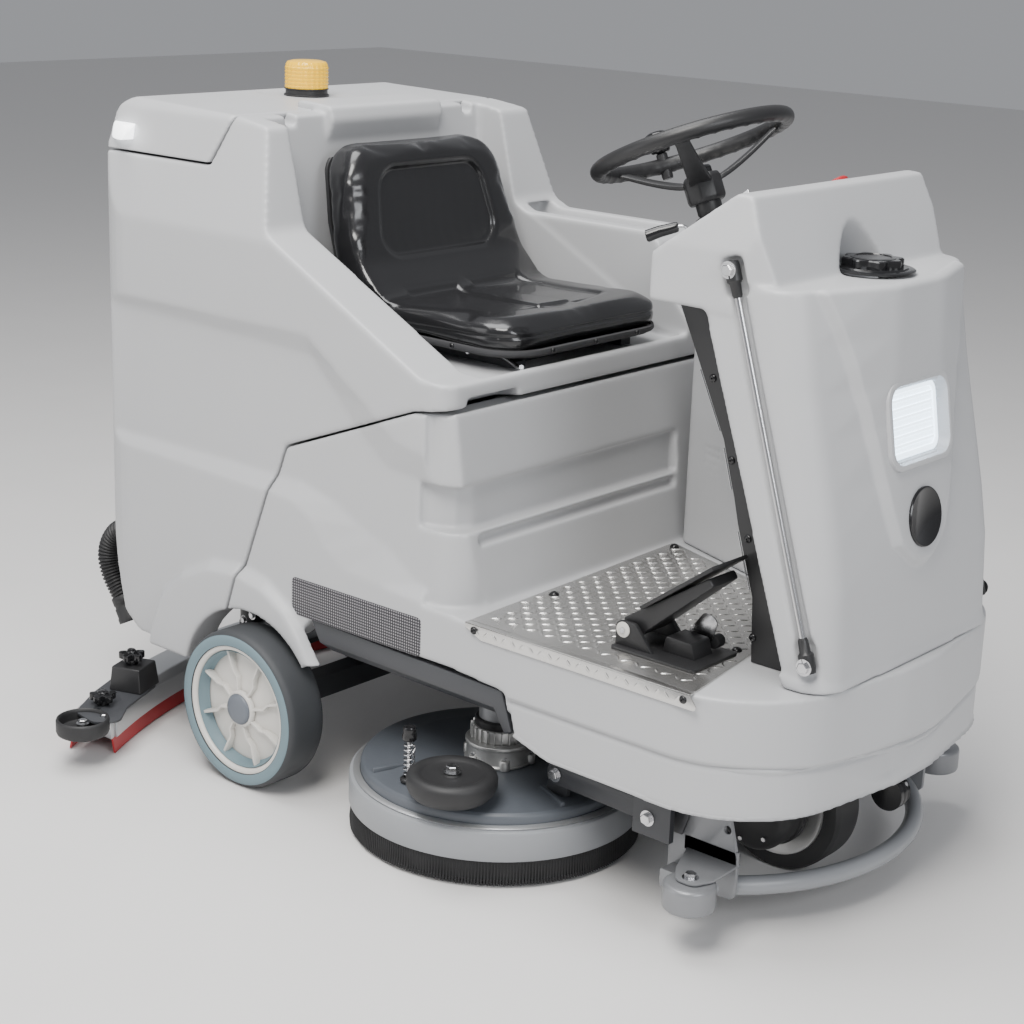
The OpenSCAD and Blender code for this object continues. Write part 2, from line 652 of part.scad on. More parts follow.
module brush_deck() color([0.3, 0.31, 0.33]) {
    both_hands() difference() {
        upright(brush_x, brush_y, deck_z - 14, deck_z + 22, 243);
        upright(brush_x, brush_y, deck_z - 20, deck_z + 16, 236);
        upright(brush_x, brush_y, 80, 160, 18);
        upright(deck_pin_x, -deck_pin_y, 80, 200, 7.06);
        upright(deck_pin_x, deck_pin_y, 80, 200, 7.06);
        block([0, -300, 0], [900, 0, 300]);
    }
    both_hands() {
        difference() {
            block([arm_deck_pivot.x - 34, 290, deck_z + 21.8], [arm_deck_pivot.x + 14, 300, 194]);
            cross_rod(arm_deck_pivot.x, arm_deck_pivot.z, 3, 280, 310);
        }
        cross_rod(arm_deck_pivot.x, arm_deck_pivot.z, pin_r, 299.8, 322);
        upright(deck_roller_x, deck_roller_y, deck_z + 21.8, 188, 6);
    }
    both_hands() upright(deck_roller_x, deck_roller_y, deck_z + 21.8, deck_z + 27.6, 24);
}

module splash_skirts() both_hands() difference() {
    union() {
        color([0.55, 0.56, 0.58]) upright(brush_x, brush_y, 50, 104, skirt_r);
        color([0.05, 0.05, 0.05]) upright(brush_x, brush_y, 12, 50.2, skirt_r - 5);
    }
    upright(brush_x, brush_y, 0, 120, 243.6);
    upright(brush_x, -brush_y, 0, 120, 243.6);
    block([0, -600, 0], [900, 0, 200]);
}

module gear_motors() color([0.72, 0.73, 0.74]) both_hands() {
    upright(brush_x + 12, brush_y + 8, deck_z + 22.2, 176, 62);
    upright(brush_x + 12, brush_y + 8, 175.8, 200, 50);
    upright(brush_x + 12, brush_y + 8, 199.8, 278, 38);
}

module brush(side) color([0.1, 0.1, 0.11]) difference() {
    union() {
        upright(brush_x, side * brush_y, 60, 90, brush_r - 14);
        upright(brush_x, side * brush_y, 5, 60.2, brush_r);
        upright(brush_x, side * brush_y, 89.8, 133.6, 17.95);
    }
    upright(brush_x, side * brush_y, 0, 40, brush_r - 110);
}

module deck_roller(side) color([0.05, 0.05, 0.05])
    translate([deck_roller_x, side * deck_roller_y, deck_z + 28]) rotate_extrude()
        polygon(outline([[6.05, 0], [60, 0, 6], [78, 18, 6], [78, 40, 8], [62, 46, 4], [6.05, 46]]));

module deck_pin(side) color([0.6, 0.6, 0.62]) translate([deck_pin_x, side * deck_pin_y, 0]) {
    upright(0, 0, deck_z + 2, 226, 4);
    upright(0, 0, deck_z - 2, deck_z + 24, 7);
    upright(0, 0, 208, 234, 11);
}

// ---- squeegee ----

module squeegee_arm() color([0.1, 0.1, 0.1]) {
    both_hands() difference() {
        side_slab(outline([[squeegee_arm_pivot.x + 16, squeegee_arm_pivot.z + 16, 10],
            [squeegee_arm_pivot.x + 16, squeegee_arm_pivot.z - 16, 10],
            [squeegee_pivot.x + 10, squeegee_pivot.z - 2], [squeegee_pivot.x - 30, squeegee_pivot.z - 2],
            [squeegee_pivot.x - 30, squeegee_pivot.z + 16], [squeegee_pivot.x + 10, squeegee_pivot.z + 30]]),
            46, 58);
        cross_rod(squeegee_arm_pivot.x, squeegee_arm_pivot.z, bore_r, 40, 66);
    }
    block([squeegee_pivot.x - 30, -46.2, squeegee_pivot.z - 2], [squeegee_pivot.x + 30, 46.2,
        squeegee_pivot.z + 12]);
    upright(squeegee_pivot.x, 0, squeegee_pivot.z - 24, squeegee_pivot.z - 1.8, 12);
}

// Plan outline of a band that follows the squeegee's curve, dx behind or ahead of its middle line
function curve_band(dx0, dx1, half, n = 16) = concat(
    [for (i = [0 : n]) let (y = -half + 2 * half * i / n)
        [squeegee_x + dx0 + y * y / (2 * squeegee_curve_r), y]],
    [for (i = [n : -1 : 0]) let (y = -half + 2 * half * i / n)
        [squeegee_x + dx1 + y * y / (2 * squeegee_curve_r), y]]);

module squeegee_body() {
    color([0.75, 0.76, 0.77]) difference() {
        union() {
            plan_slab(curve_band(-34, -26, 540), 30, 84);
            plan_slab(curve_band(26, 34, 540), 30, 84);
            plan_slab(curve_band(-34, 34, 540), 76, 84);
            plan_slab(curve_band(-30, 30, 600), roller_plate_z, roller_plate_z + 6);
        }
        upright(squeegee_x, 0, 20, 100, 20);
    }
    color([0.1, 0.1, 0.1]) {
        difference() {
            upright(squeegee_x, 0, 76, 150, 26);
            upright(squeegee_x, 0, 50, 160, 20);
        }
        difference() {
            block([squeegee_x + 20, -90, 83.8], [squeegee_pivot.x + 40, 90, 95]);
            upright(squeegee_pivot.x, 0, 80, 120, 12.06);
        }
        both_hands() {
            // bracket with the clamp knobs, near each end
            translate([squeegee_x + 112, 430, 83.8]) rotate([0, 0, 20]) block([-28, -38, 0], [36, 38, 56]);
            for (p = [[122, 425, 139], [150, 522, 83.8]])
                translate([squeegee_x + p.x, p.y, p.z]) {
                    cylinder(r = 12, h = 24);
                    for (a = [0 : 72 : 288]) rotate([0, 0, a]) translate([9, -5, 12])
                        cube([19, 10, 12]);
                }
            upright(squeegee_roller_x, squeegee_roller_y, roller_plate_z - 2, 100, 6);
            block([squeegee_roller_x - 40, 580, roller_plate_z], [squeegee_roller_x + 14, 614,
                roller_plate_z + 6]);
        }
    }
}

module squeegee_blades() color([0.75, 0.12, 0.12]) {
    plan_slab(curve_band(-38, -34.2, 545), 2, 78);
    plan_slab(curve_band(34.2, 38, 545), 2, 78);
}

module squeegee_roller(side) color([0.05, 0.05, 0.05])
    translate([squeegee_roller_x, side * squeegee_roller_y, roller_plate_z + 6.4]) rotate_extrude()
        polygon(outline([[6.05, 0], [44, 0, 4], [50, 8, 4], [50, 32], [44, 32], [40, 10], [12, 8],
            [6.05, 8]]));

from_axle() chassis_frame();
from_axle() solution_tank();
from_axle() front_cowl();
from_axle() dash_panel();
from_axle() headlight_bezel();
from_axle() headlight_lens();
from_axle() badge_disc();
from_axle() footplate();
from_axle() deck_bolts();
from_axle() left_console();
from_axle() column_cover();
from_axle() steering_column();
from_axle() cowl_stays();
from_axle() side_decals();
from_axle() front_bumper();
from_axle() rear_axle();
from_axle() battery_pack();
from_axle() pedal_base();
from_axle() water_pump();
from_axle() controller_box();
from_axle() horn();
from_axle() bumper_roller(-1);  // bumper_roller_right
from_axle() bumper_roller(1);  // bumper_roller_left
from_axle() rear_tyre(-1);  // rear_tyre_right
from_axle() rear_tyre(1);  // rear_tyre_left
from_axle() rear_hub(-1);  // rear_hub_right
from_axle() rear_hub(1);  // rear_hub_left
from_axle() steer_fork();
from_axle() drive_tyre();
from_axle() drive_hub();
from_axle() steering_wheel();
from_axle() spinner_knob();
from_axle() accelerator_pedal();
from_axle() dash_lever();
from_axle() filler_cap();
from_axle() recovery_tank();
from_axle() vacuum_motor();
from_axle() drain_hose();
from_axle() drain_cuff();
from_axle() seat_rails();
from_axle() tank_lid();
from_axle() lid_lights();
from_axle() beacon();
from_axle() seat_pan();
from_axle() seat_cushion();
from_axle() lift_arms();
from_axle() brush_deck();
from_axle() splash_skirts();
from_axle() gear_motors();
from_axle() brush(-1);  // brush_right
from_axle() brush(1);  // brush_left
from_axle() deck_roller(-1);  // deck_roller_right
from_axle() deck_roller(1);  // deck_roller_left
from_axle() deck_pin(-1);  // deck_pin_right
from_axle() deck_pin(1);  // deck_pin_left
from_axle() squeegee_arm();
from_axle() squeegee_body();
from_axle() squeegee_blades();
from_axle() squeegee_roller(-1);  // squeegee_roller_right
from_axle() squeegee_roller(1);  // squeegee_roller_left
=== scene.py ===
import math

import bmesh
import bpy
import numpy as np
from mathutils import Matrix, Vector


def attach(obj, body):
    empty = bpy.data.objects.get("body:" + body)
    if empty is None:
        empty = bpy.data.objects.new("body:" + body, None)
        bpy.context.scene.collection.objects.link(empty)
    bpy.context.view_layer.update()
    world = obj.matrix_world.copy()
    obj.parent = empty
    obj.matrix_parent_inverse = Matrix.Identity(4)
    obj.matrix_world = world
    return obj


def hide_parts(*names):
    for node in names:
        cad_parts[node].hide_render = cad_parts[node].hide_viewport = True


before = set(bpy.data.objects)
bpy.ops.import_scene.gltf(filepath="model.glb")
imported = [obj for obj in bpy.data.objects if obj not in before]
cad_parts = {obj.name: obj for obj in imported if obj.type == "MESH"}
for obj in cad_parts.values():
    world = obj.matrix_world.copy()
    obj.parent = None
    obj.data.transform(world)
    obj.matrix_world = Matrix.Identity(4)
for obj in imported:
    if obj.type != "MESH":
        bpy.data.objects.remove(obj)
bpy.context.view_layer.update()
SCENE = bpy.context.scene
AXLE = -315.5          # the rear axle's X in the row frame, in mm; shapes below measure X from it
LID_Z = 1122.0         # where the lid meets the tank
HALF = 402.0           # half the body's width
SIDES = ((-1, "right"), (1, "left"))
UP = Vector((0, 0, 1))
LEFT = Vector((0, 1, 0))


def P(x, y, z):
    return Vector(((x + AXLE) / 1000, y / 1000, z / 1000))


# ---------------------------------------------------------------- materials
M = {}


def new_material(name, color, rough, metallic=0.0, grain=0.0, grain_scale=300.0, mottle=0.0,
                 coat=0.0, emission=None, strength=0.0):
    """A finish with fine grain in its relief and a slow mottle in its colour and gloss."""
    m = bpy.data.materials.new(name)
    m.use_nodes = True
    nt = m.node_tree
    b = nt.nodes["Principled BSDF"]
    b.inputs["Base Color"].default_value = (*color, 1)
    b.inputs["Roughness"].default_value = rough
    b.inputs["Metallic"].default_value = metallic
    b.inputs["Coat Weight"].default_value = coat
    if emission is not None:
        b.inputs["Emission Color"].default_value = (*emission, 1)
        b.inputs["Emission Strength"].default_value = strength
    coords = nt.nodes.new("ShaderNodeTexCoord")
    if mottle:
        slow = nt.nodes.new("ShaderNodeTexNoise")
        slow.inputs["Scale"].default_value = 5.0
        slow.inputs["Detail"].default_value = 4.0
        nt.links.new(coords.outputs["Object"], slow.inputs["Vector"])
        mix = nt.nodes.new("ShaderNodeMix")
        mix.data_type = "RGBA"
        mix.inputs["A"].default_value = (*[c * (1 - mottle) for c in color], 1)
        mix.inputs["B"].default_value = (*[min(1, c * (1 + mottle)) for c in color], 1)
        nt.links.new(slow.outputs["Fac"], mix.inputs["Factor"])
        nt.links.new(mix.outputs["Result"], b.inputs["Base Color"])
        ramp = nt.nodes.new("ShaderNodeMapRange")
        ramp.inputs["To Min"].default_value = max(0.02, rough - 0.07)
        ramp.inputs["To Max"].default_value = min(1, rough + 0.07)
        nt.links.new(slow.outputs["Fac"], ramp.inputs["Value"])
        nt.links.new(ramp.outputs["Result"], b.inputs["Roughness"])
    if grain:
        fine = nt.nodes.new("ShaderNodeTexNoise")
        fine.inputs["Scale"].default_value = grain_scale
        fine.inputs["Detail"].default_value = 3.0
        nt.links.new(coords.outputs["Object"], fine.inputs["Vector"])
        bump = nt.nodes.new("ShaderNodeBump")
        bump.inputs["Strength"].default_value = grain
        bump.inputs["Distance"].default_value = 0.0004
        nt.links.new(fine.outputs["Fac"], bump.inputs["Height"])
        nt.links.new(bump.outputs["Normal"], b.inputs["Normal"])
    M[name] = m
    return m


new_material("light_shell", (0.47, 0.475, 0.485), 0.42, grain=0.35, grain_scale=420, mottle=0.03)
new_material("dark_frame", (0.045, 0.047, 0.052), 0.45, grain=0.3, mottle=0.1)
new_material("grey_steel", (0.22, 0.225, 0.235), 0.36, 0.3, grain=0.2, mottle=0.06)
new_material("deck_grey", (0.085, 0.095, 0.11), 0.42, grain=0.5, grain_scale=160, mottle=0.18)
new_material("skirt_grey", (0.27, 0.28, 0.295), 0.36, grain=0.15, mottle=0.06)
new_material("black_plastic", (0.017, 0.017, 0.018), 0.42, grain=0.3, grain_scale=500, mottle=0.1)
new_material("black_gloss", (0.010, 0.010, 0.011), 0.16, grain=0.05, mottle=0.1)
new_material("black_vinyl", (0.011, 0.011, 0.012), 0.24, grain=0.30, grain_scale=700, mottle=0.06, coat=0.35)
new_material("black_rubber", (0.018, 0.018, 0.019), 0.55, grain=0.3, mottle=0.12)
new_material("grey_tyre", (0.15, 0.22, 0.25), 0.55, grain=0.3, mottle=0.08)
new_material("tyre_tread", (0.040, 0.043, 0.047), 0.62, grain=0.5, grain_scale=200, mottle=0.15)
new_material("white_hub", (0.64, 0.62, 0.58), 0.38, grain=0.2, mottle=0.04)
new_material("chequer", (0.66, 0.65, 0.63), 0.26, 0.95, grain=0.35, grain_scale=120, mottle=0.10)
new_material("bright_steel", (0.62, 0.62, 0.63), 0.22, 1.0, grain=0.1, mottle=0.06)
new_material("cast_alloy", (0.58, 0.58, 0.57), 0.42, 0.85, grain=0.6, grain_scale=240, mottle=0.1)
new_material("squeegee_alloy", (0.60, 0.61, 0.62), 0.33, 0.8, grain=0.3, mottle=0.06)
new_material("red_rubber", (0.42, 0.018, 0.024), 0.35, grain=0.1, mottle=0.06)
new_material("lamp_glow", (0.85, 0.92, 1.0), 0.12, emission=(0.70, 0.86, 1.0), strength=3.4)
new_material("strip_glow", (1, 1, 1), 0.2, emission=(0.95, 0.98, 1.0), strength=3.0)
new_material("amber", (0.90, 0.50, 0.01), 0.14, emission=(0.95, 0.62, 0.01), strength=0.30)
new_material("decal", (0.03, 0.028, 0.034), 0.3)
new_material("battery", (0.03, 0.03, 0.033), 0.4, grain=0.2, mottle=0.1)
new_material("bristle", (0.012, 0.012, 0.013), 0.7, grain=1.0, grain_scale=700, mottle=0.2)
new_material("cap_grey", (0.13, 0.145, 0.17), 0.4, grain=0.15, mottle=0.05)
new_material("trim", (0.045, 0.045, 0.048), 0.8, grain=1.0, grain_scale=1500, mottle=0.2)


def mesh_pattern(m):
    """The decal's woven look: small light dots in a staggered grid, on the side's own plane."""
    nt = m.node_tree
    b = nt.nodes["Principled BSDF"]
    coords = nt.nodes.new("ShaderNodeTexCoord")
    split = nt.nodes.new("ShaderNodeSeparateXYZ")
    nt.links.new(coords.outputs["Object"], split.inputs["Vector"])

    def math_node(op, a, c=None):
        n = nt.nodes.new("ShaderNodeMath")
        n.operation = op
        for i, v in enumerate((a, c)):
            if v is None:
                continue
            if isinstance(v, float):
                n.inputs[i].default_value = v
            else:
                nt.links.new(v, n.inputs[i])
        return n.outputs[0]
    k = 2 * math.pi / 0.0105
    a = math_node("MULTIPLY", math_node("ADD", split.outputs["X"], split.outputs["Z"]), k)
    c = math_node("MULTIPLY", math_node("SUBTRACT", split.outputs["X"], split.outputs["Z"]), k)
    wave = math_node("MULTIPLY", math_node("SINE", a), math_node("SINE", c))
    ramp = nt.nodes.new("ShaderNodeMapRange")
    ramp.inputs["From Min"].default_value = 0.25
    ramp.inputs["From Max"].default_value = 0.5
    nt.links.new(wave, ramp.inputs["Value"])
    mix = nt.nodes.new("ShaderNodeMix")
    mix.data_type = "RGBA"
    mix.inputs["A"].default_value = (0.018, 0.017, 0.021, 1)
    mix.inputs["B"].default_value = (0.30, 0.29, 0.31, 1)
    nt.links.new(ramp.outputs["Result"], mix.inputs["Factor"])
    nt.links.new(mix.outputs["Result"], b.inputs["Base Color"])


mesh_pattern(M["decal"])


# ---------------------------------------------------------------- mesh helpers
def link(name, me):
    o = bpy.data.objects.new(name, me)
    SCENE.collection.objects.link(o)
    return o


def make(name, verts, faces):
    me = bpy.data.meshes.new(name)
    me.from_pydata([tuple(v) for v in verts], [], [tuple(f) for f in faces])
    bm = bmesh.new()
    bm.from_mesh(me)
    bmesh.ops.recalc_face_normals(bm, faces=bm.faces)
    bm.to_mesh(me)
    bm.free()
    return link(name, me)


def drop(o):
    me = o.data
    bpy.data.objects.remove(o)
    if me.users == 0:
        bpy.data.meshes.remove(me)


def bake(o):
    """Applies the object's modifiers."""
    dg = bpy.context.evaluated_depsgraph_get()
    me = bpy.data.meshes.new_from_object(o.evaluated_get(dg))
    old = o.data
    o.modifiers.clear()
    o.data = me
    if old.users == 0:
        bpy.data.meshes.remove(old)
    return o


def shade(o, angle=35):
    for p in o.data.polygons:
        p.use_smooth = True
    if angle < 180:
        bm = bmesh.new()
        bm.from_mesh(o.data)
        limit = math.radians(angle)
        for e in bm.edges:
            e.smooth = len(e.link_faces) == 2 and e.calc_face_angle(0) < limit
        bm.to_mesh(o.data)
        bm.free()
    return o


def finish(o, body, mat, angle=35, bevel=0.0, node=(), segments=2):
    if bevel:
        b = o.modifiers.new("bevel", "BEVEL")
        b.width = bevel / 1000
        b.segments = segments
        b.limit_method = "ANGLE"
        b.angle_limit = math.radians(30)
        b.use_clamp_overlap = True
        bake(o)
    shade(o, angle)
    o.data.materials.clear()
    o.data.materials.append(M[mat])
    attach(o, body)
    if node:
        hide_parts(*([node] if isinstance(node, str) else node))
    return o


def corner_arc(a, b, c, r, n):
    a, b, c = (np.array(p[:2], float) for p in (a, b, c))
    u, v = (a - b) / np.linalg.norm(a - b), (c - b) / np.linalg.norm(c - b)
    half = math.acos(max(-1, min(1, float(u @ v)))) / 2
    if abs(half - math.pi / 2) < 1e-4:
        return [tuple(b)]
    first, last = b + u * (r / math.tan(half)), b + v * (r / math.tan(half))
    mid = b + (u + v) / np.linalg.norm(u + v) * (r / math.sin(half))
    t0, t1 = math.atan2(*(first - mid)[::-1]), math.atan2(*(last - mid)[::-1])
    sweep = (t1 - t0 + 3 * math.pi) % (2 * math.pi) - math.pi
    return [(mid[0] + r * math.cos(t0 + sweep * i / n), mid[1] + r * math.sin(t0 + sweep * i / n))
            for i in range(n + 1)]


def outline(points, n=8):
    """Path through (x, y, radius) corners, rounded."""
    out = []
    for i, b in enumerate(points):
        r = b[2] if len(b) > 2 else 0
        out += corner_arc(points[i - 1], b, points[(i + 1) % len(points)], r, n) if r > 0 else [tuple(b[:2])]
    return out


def both(points):
    return list(points) + [(p[0], -p[1], *p[2:]) for p in reversed(points)]


def place(p, q, axis):
    """Outline point p at q along the axis: 'y' takes (x, z), 'z' takes (x, y), 'x' takes (y, z)."""
    if axis == "y":
        return P(p[0], q, p[1])
    if axis == "z":
        return P(p[0], p[1], q)
    return P(q, p[0], p[1])


def prism(points, axis, a, b, name="prism", top=None):
    """Closed solid between outline points at a and outline top (same count) at b."""
    top = points if top is None else top
    n = len(points)
    verts = [place(p, a, axis) for p in points] + [place(p, b, axis) for p in top]
    faces = [list(range(n)), list(range(2 * n - 1, n - 1, -1))]
    faces += [[i, (i + 1) % n, n + (i + 1) % n, n + i] for i in range(n)]
    return make(name, verts, faces)


def block(lo, hi, name="block"):
    return prism([(lo[0], lo[1]), (hi[0], lo[1]), (hi[0], hi[1]), (lo[0], hi[1])], "z", lo[2], hi[2], name)


def ring_points(c, u, v, r, n):
    return [c + u * (r * math.cos(2 * math.pi * i / n)) + v * (r * math.sin(2 * math.pi * i / n))
            for i in range(n)]


def lathe(profile, origin, axis, n=64, name="lathe", turn=None):
    """Solid of revolution: profile is (radius, distance along the axis) in mm. It closes at the axis or
    on itself."""
    axis = Vector(axis).normalized()
    u = axis.orthogonal().normalized() if turn is None else (Vector(turn) - axis
                                                             * Vector(turn).dot(axis)).normalized()
    v = axis.cross(u)
    verts, rows = [], []
    for r, h in profile:
        c = origin + axis * (h / 1000)
        if r < 1e-6:
            rows.append([len(verts)])
            verts.append(c)
        else:
            rows.append(list(range(len(verts), len(verts) + n)))
            verts += ring_points(c, u, v, r / 1000, n)
    faces = []
    closed = profile[0][0] > 1e-6
    for a, b in zip(rows, rows[1:] + ([rows[0]] if closed else [])):
        for i in range(n):
            j = (i + 1) % n
            if len(a) == 1 and len(b) == 1:
                continue
            if len(a) == 1:
                faces.append((a[0], b[j], b[i]))
            elif len(b) == 1:
                faces.append((a[i], a[j], b[0]))
            else:
                faces.append((a[i], a[j], b[j], b[i]))
    return make(name, verts, faces)


def rod(a, b, r, n=24, name="rod", r2=None):
    d = b - a
    r2 = r if r2 is None else r2
    return lathe([(0, 0), (r, 0), (r2, d.length * 1000), (0, d.length * 1000)], a, d, n, name)


def cyl(x, z, r, y0, y1, n=96, name="cyl"):
    return rod(P(x, y0, z), P(x, y1, z), r, n, name)


def frames_along(path):
    """Parallel-transport frames along a path."""
    pts = [Vector(p) for p in path]
    t = [(pts[min(i + 1, len(pts) - 1)] - pts[max(i - 1, 0)]).normalized() for i in range(len(pts))]
    u = t[0].orthogonal().normalized()
    out = []
    for i in range(len(pts)):
        u = (u - t[i] * u.dot(t[i])).normalized()
        out.append((pts[i], t[i], u, t[i].cross(u)))
    return out


def side_faces(rows, n):
    """Quads that join rings of n points each, one ring after another."""
    return [(i * n + k, i * n + (k + 1) % n, (i + 1) * n + (k + 1) % n, (i + 1) * n + k)
            for i in range(rows - 1) for k in range(n)]


def end_faces(rows, n):
    """The faces that close the first and the last ring."""
    return [tuple(range(n)), tuple(range((rows - 1) * n, rows * n))]


def sweep(path, r, n=16, name="sweep", radii=None):
    """Round tube along a path of row-frame points, radius in mm, closed at its ends."""
    verts = []
    rows = frames_along(path)
    for i, (c, t, u, v) in enumerate(rows):
        verts += ring_points(c, u, v, (radii[i] if radii else r) / 1000, n)
    return make(name, verts, side_faces(len(rows), n) + end_faces(len(rows), n))


def smooth_path(points, n=12):
    """Catmull-Rom curve through points."""
    p = [Vector(q) for q in points]
    p = [2 * p[0] - p[1]] + p + [2 * p[-1] - p[-2]]
    out = []
    for i in range(1, len(p) - 2):
        a, b, c, d = p[i - 1], p[i], p[i + 1], p[i + 2]
        for k in range(n):
            t = k / n
            out.append(0.5 * ((2 * b) + (c - a) * t + (2 * a - 5 * b + 4 * c - d) * t * t
                              + (3 * b - a - 3 * c + d) * t ** 3))
    return out + [p[-2]]


def volume(o):
    bm = bmesh.new()
    bm.from_mesh(o.data)
    v = abs(bm.calc_volume())
    bm.free()
    return v


def triangulate(o):
    bm = bmesh.new()
    bm.from_mesh(o.data)
    bmesh.ops.triangulate(bm, faces=bm.faces)
    bm.to_mesh(o.data)
    bm.free()


def csg(base, *steps):
    """Applies ('-', solid), ('+', solid) or ('&', solid) in turn. A result whose volume can't be right is
    made again, nudged."""
    kinds = {"-": "DIFFERENCE", "+": "UNION", "&": "INTERSECT"}
    for op, other in steps:
        a, b, start = volume(base), volume(other), base.data.copy()
        low = {"-": max(a - b, 0.0), "+": max(a, b), "&": 0.0}[op] * 0.995
        high = {"-": a, "+": a + b, "&": min(a, b)}[op] * 1.005
        for nudge in ((0, 0, 0), (3e-5, 5e-5, 4e-5), (-7e-5, 4e-5, -6e-5), (1.3e-4, -1.1e-4, 1.7e-4),
                      (-3e-4, 2.3e-4, 3.1e-4)):
            other.data.transform(Matrix.Translation(nudge))
            m = base.modifiers.new("csg", "BOOLEAN")
            m.operation = kinds[op]
            m.solver = "EXACT"
            m.object = other
            bake(base)
            v = volume(base)
            if low <= v <= high and v > 0:
                break
            print("csg again:", base.name, op, round(a * 1e6), round(b * 1e6), round(v * 1e6))
            old = base.data
            base.data = start.copy()
            bpy.data.meshes.remove(old)
            triangulate(base)
            triangulate(other)
        else:
            raise RuntimeError(f"{base.name}: boolean {op} fails")
        drop(other)
        if start.users == 0:
            bpy.data.meshes.remove(start)
    return base


def join(name, *objs):
    verts, faces, k = [], [], 0
    for o in objs:
        verts += [v.co.copy() for v in o.data.vertices]
        faces += [[k + i for i in p.vertices] for p in o.data.polygons]
        k += len(o.data.vertices)
        drop(o)
    me = bpy.data.meshes.new(name)
    me.from_pydata(verts, [], faces)
    return link(name, me)


def coords_of(o):
    co = np.empty(len(o.data.vertices) * 3)
    o.data.vertices.foreach_get("co", co)
    return co.reshape(-1, 3)


def set_coords(o, co):
    o.data.vertices.foreach_set("co", np.ascontiguousarray(co, dtype=np.float64).ravel())
    o.data.update()


def relax(o, rounds, keep=None):
    """Rounds the mesh's edges by averaging neighbours; keep is a mask from 0 (free) to 1 (fixed)."""
    me = o.data
    e = np.empty(len(me.edges) * 2, int)
    me.edges.foreach_get("vertices", e)
    e = e.reshape(-1, 2)
    co = coords_of(o)
    n = len(co)
    count = np.bincount(e.ravel(), minlength=n)[:, None]
    free = 1.0 if keep is None else (1 - keep)[:, None]
    for i in range(rounds):
        total = np.empty_like(co)
        for k in range(3):
            total[:, k] = (np.bincount(e[:, 0], co[e[:, 1], k], n) + np.bincount(e[:, 1], co[e[:, 0], k], n))
        co = co + free * 0.5 * (total / np.maximum(count, 1) - co)
    set_coords(o, co)
    return o


def mould(o, voxel=4.0, rounds=8):
    """Turns a sharp solid into a rotomoulded one: every edge is rounded."""
    m = o.modifiers.new("remesh", "REMESH")
    m.mode = "VOXEL"
    m.voxel_size = voxel * 1.0 / 1000
    bake(o)
    relax(o, max(2, int(rounds / (1))))
    return o


def normals_of(o):
    no = np.empty(len(o.data.vertices) * 3)
    o.data.vertices.foreach_get("normal", no)
    return no.reshape(-1, 3)


def smoothstep(x):
    x = np.clip(x, 0, 1)
    return x * x * (3 - 2 * x)


def inside_distance(px, py, poly):
    """Signed distance in mm to a polygon: negative inside."""
    poly = np.array(poly, float)
    best = np.full(px.shape, 1e9)
    inside = np.zeros(px.shape, bool)
    for i in range(len(poly)):
        a, b = poly[i - 1], poly[i]
        d = b - a
        t = np.clip(((px - a[0]) * d[0] + (py - a[1]) * d[1]) / max(d @ d, 1e-9), 0, 1)
        best = np.minimum(best, np.hypot(px - a[0] - t * d[0], py - a[1] - t * d[1]))
        cross = (a[1] > py) != (b[1] > py)
        with np.errstate(divide="ignore", invalid="ignore"):
            xs = a[0] + (py - a[1]) * d[0] / (d[1] if abs(d[1]) > 1e-12 else 1e-12)
        inside ^= cross & (px < xs)
    return np.where(inside, -best, best)


def hex_bolt(at, axis, across=13.0, height=6.0, washer=True, name="bolt", body="chassis",
             mat="bright_steel", turn=None):
    axis = Vector(axis).normalized()
    parts = []
    if washer:
        parts.append(lathe([(0, 0), (across * 0.8, 0), (across * 0.8, 1.4), (0, 1.4)], at, axis, 24))
    r = across / 2 / math.cos(math.pi / 6)
    head = lathe([(0, 1.2), (r, 1.2), (r, height - 1), (r * 0.84, height), (0, height)], at, axis, 6,
                 turn=turn)
    parts.append(head)
    return finish(join(name, *parts), body, mat, 25)


def dome(at, axis, r=8.0, h=4.6, name="dome", body="chassis", mat="black_gloss"):
    prof = [(0, 0), (r * 1.05, 0), (r * 1.05, 0.8)] + [
        (r * math.cos(a), 0.8 + h * math.sin(a)) for a in np.linspace(0, 1.25, 7)]
    prof += [(r * 0.26, prof[-1][1]), (r * 0.24, prof[-1][1] - 2.0), (0, prof[-1][1] - 2.0)]
    return finish(lathe(prof, at, axis, 24, name), body, mat, 40)


# ---------------------------------------------------------------- recovery tank
PART_LINE = [(-71, 300), (-71, 318), (-48, 388), (50, 646), (372, 771), (480, 782)]
TANK_SIDE = outline([(-350, 200, 12), (-392, 232, 20), (-458, 420, 60), (-464, 575, 14), (-446, 596, 14),
                     (-442, 850, 30), (-484, 925, 30), (-470, LID_Z - 12, 8), (-458, LID_Z, 4),
                     (-445, 1222, 40),
                     (-120, 1212, 30), (-36, 1200, 14), (9, 1025, 30), (385, 832, 20), (446, 826, 8),
                     (446, 785), (372, 774), (46, 649), (-52, 391), (-75, 321), (-75, 300), (-75, 215),
                     (-190, 200)])
TANK_FRONT = outline([(-HALF, 190), (-HALF, 1010, 60), (-350, 1205, 18), (-330, 1223, 10), (330, 1223, 10),
                      (350, 1205, 18), (HALF, 1010, 60), (HALF, 190)])
TANK_PLAN = outline(both([(-486, -HALF, 110), (446, -HALF, 40)]))
PANEL_OUT = [(-560, 568), (-408, 568), (3, 557), (68, 554), (114, 532), (153, 482), (202, 450), (291, 450),
             (423, 442), (520, 430), (560, 430), (560, 700), (440, 706), (338, 722), (286, 757), (200, 812),
             (116, 868), (-100, 866), (-422, 863), (-560, 861)]
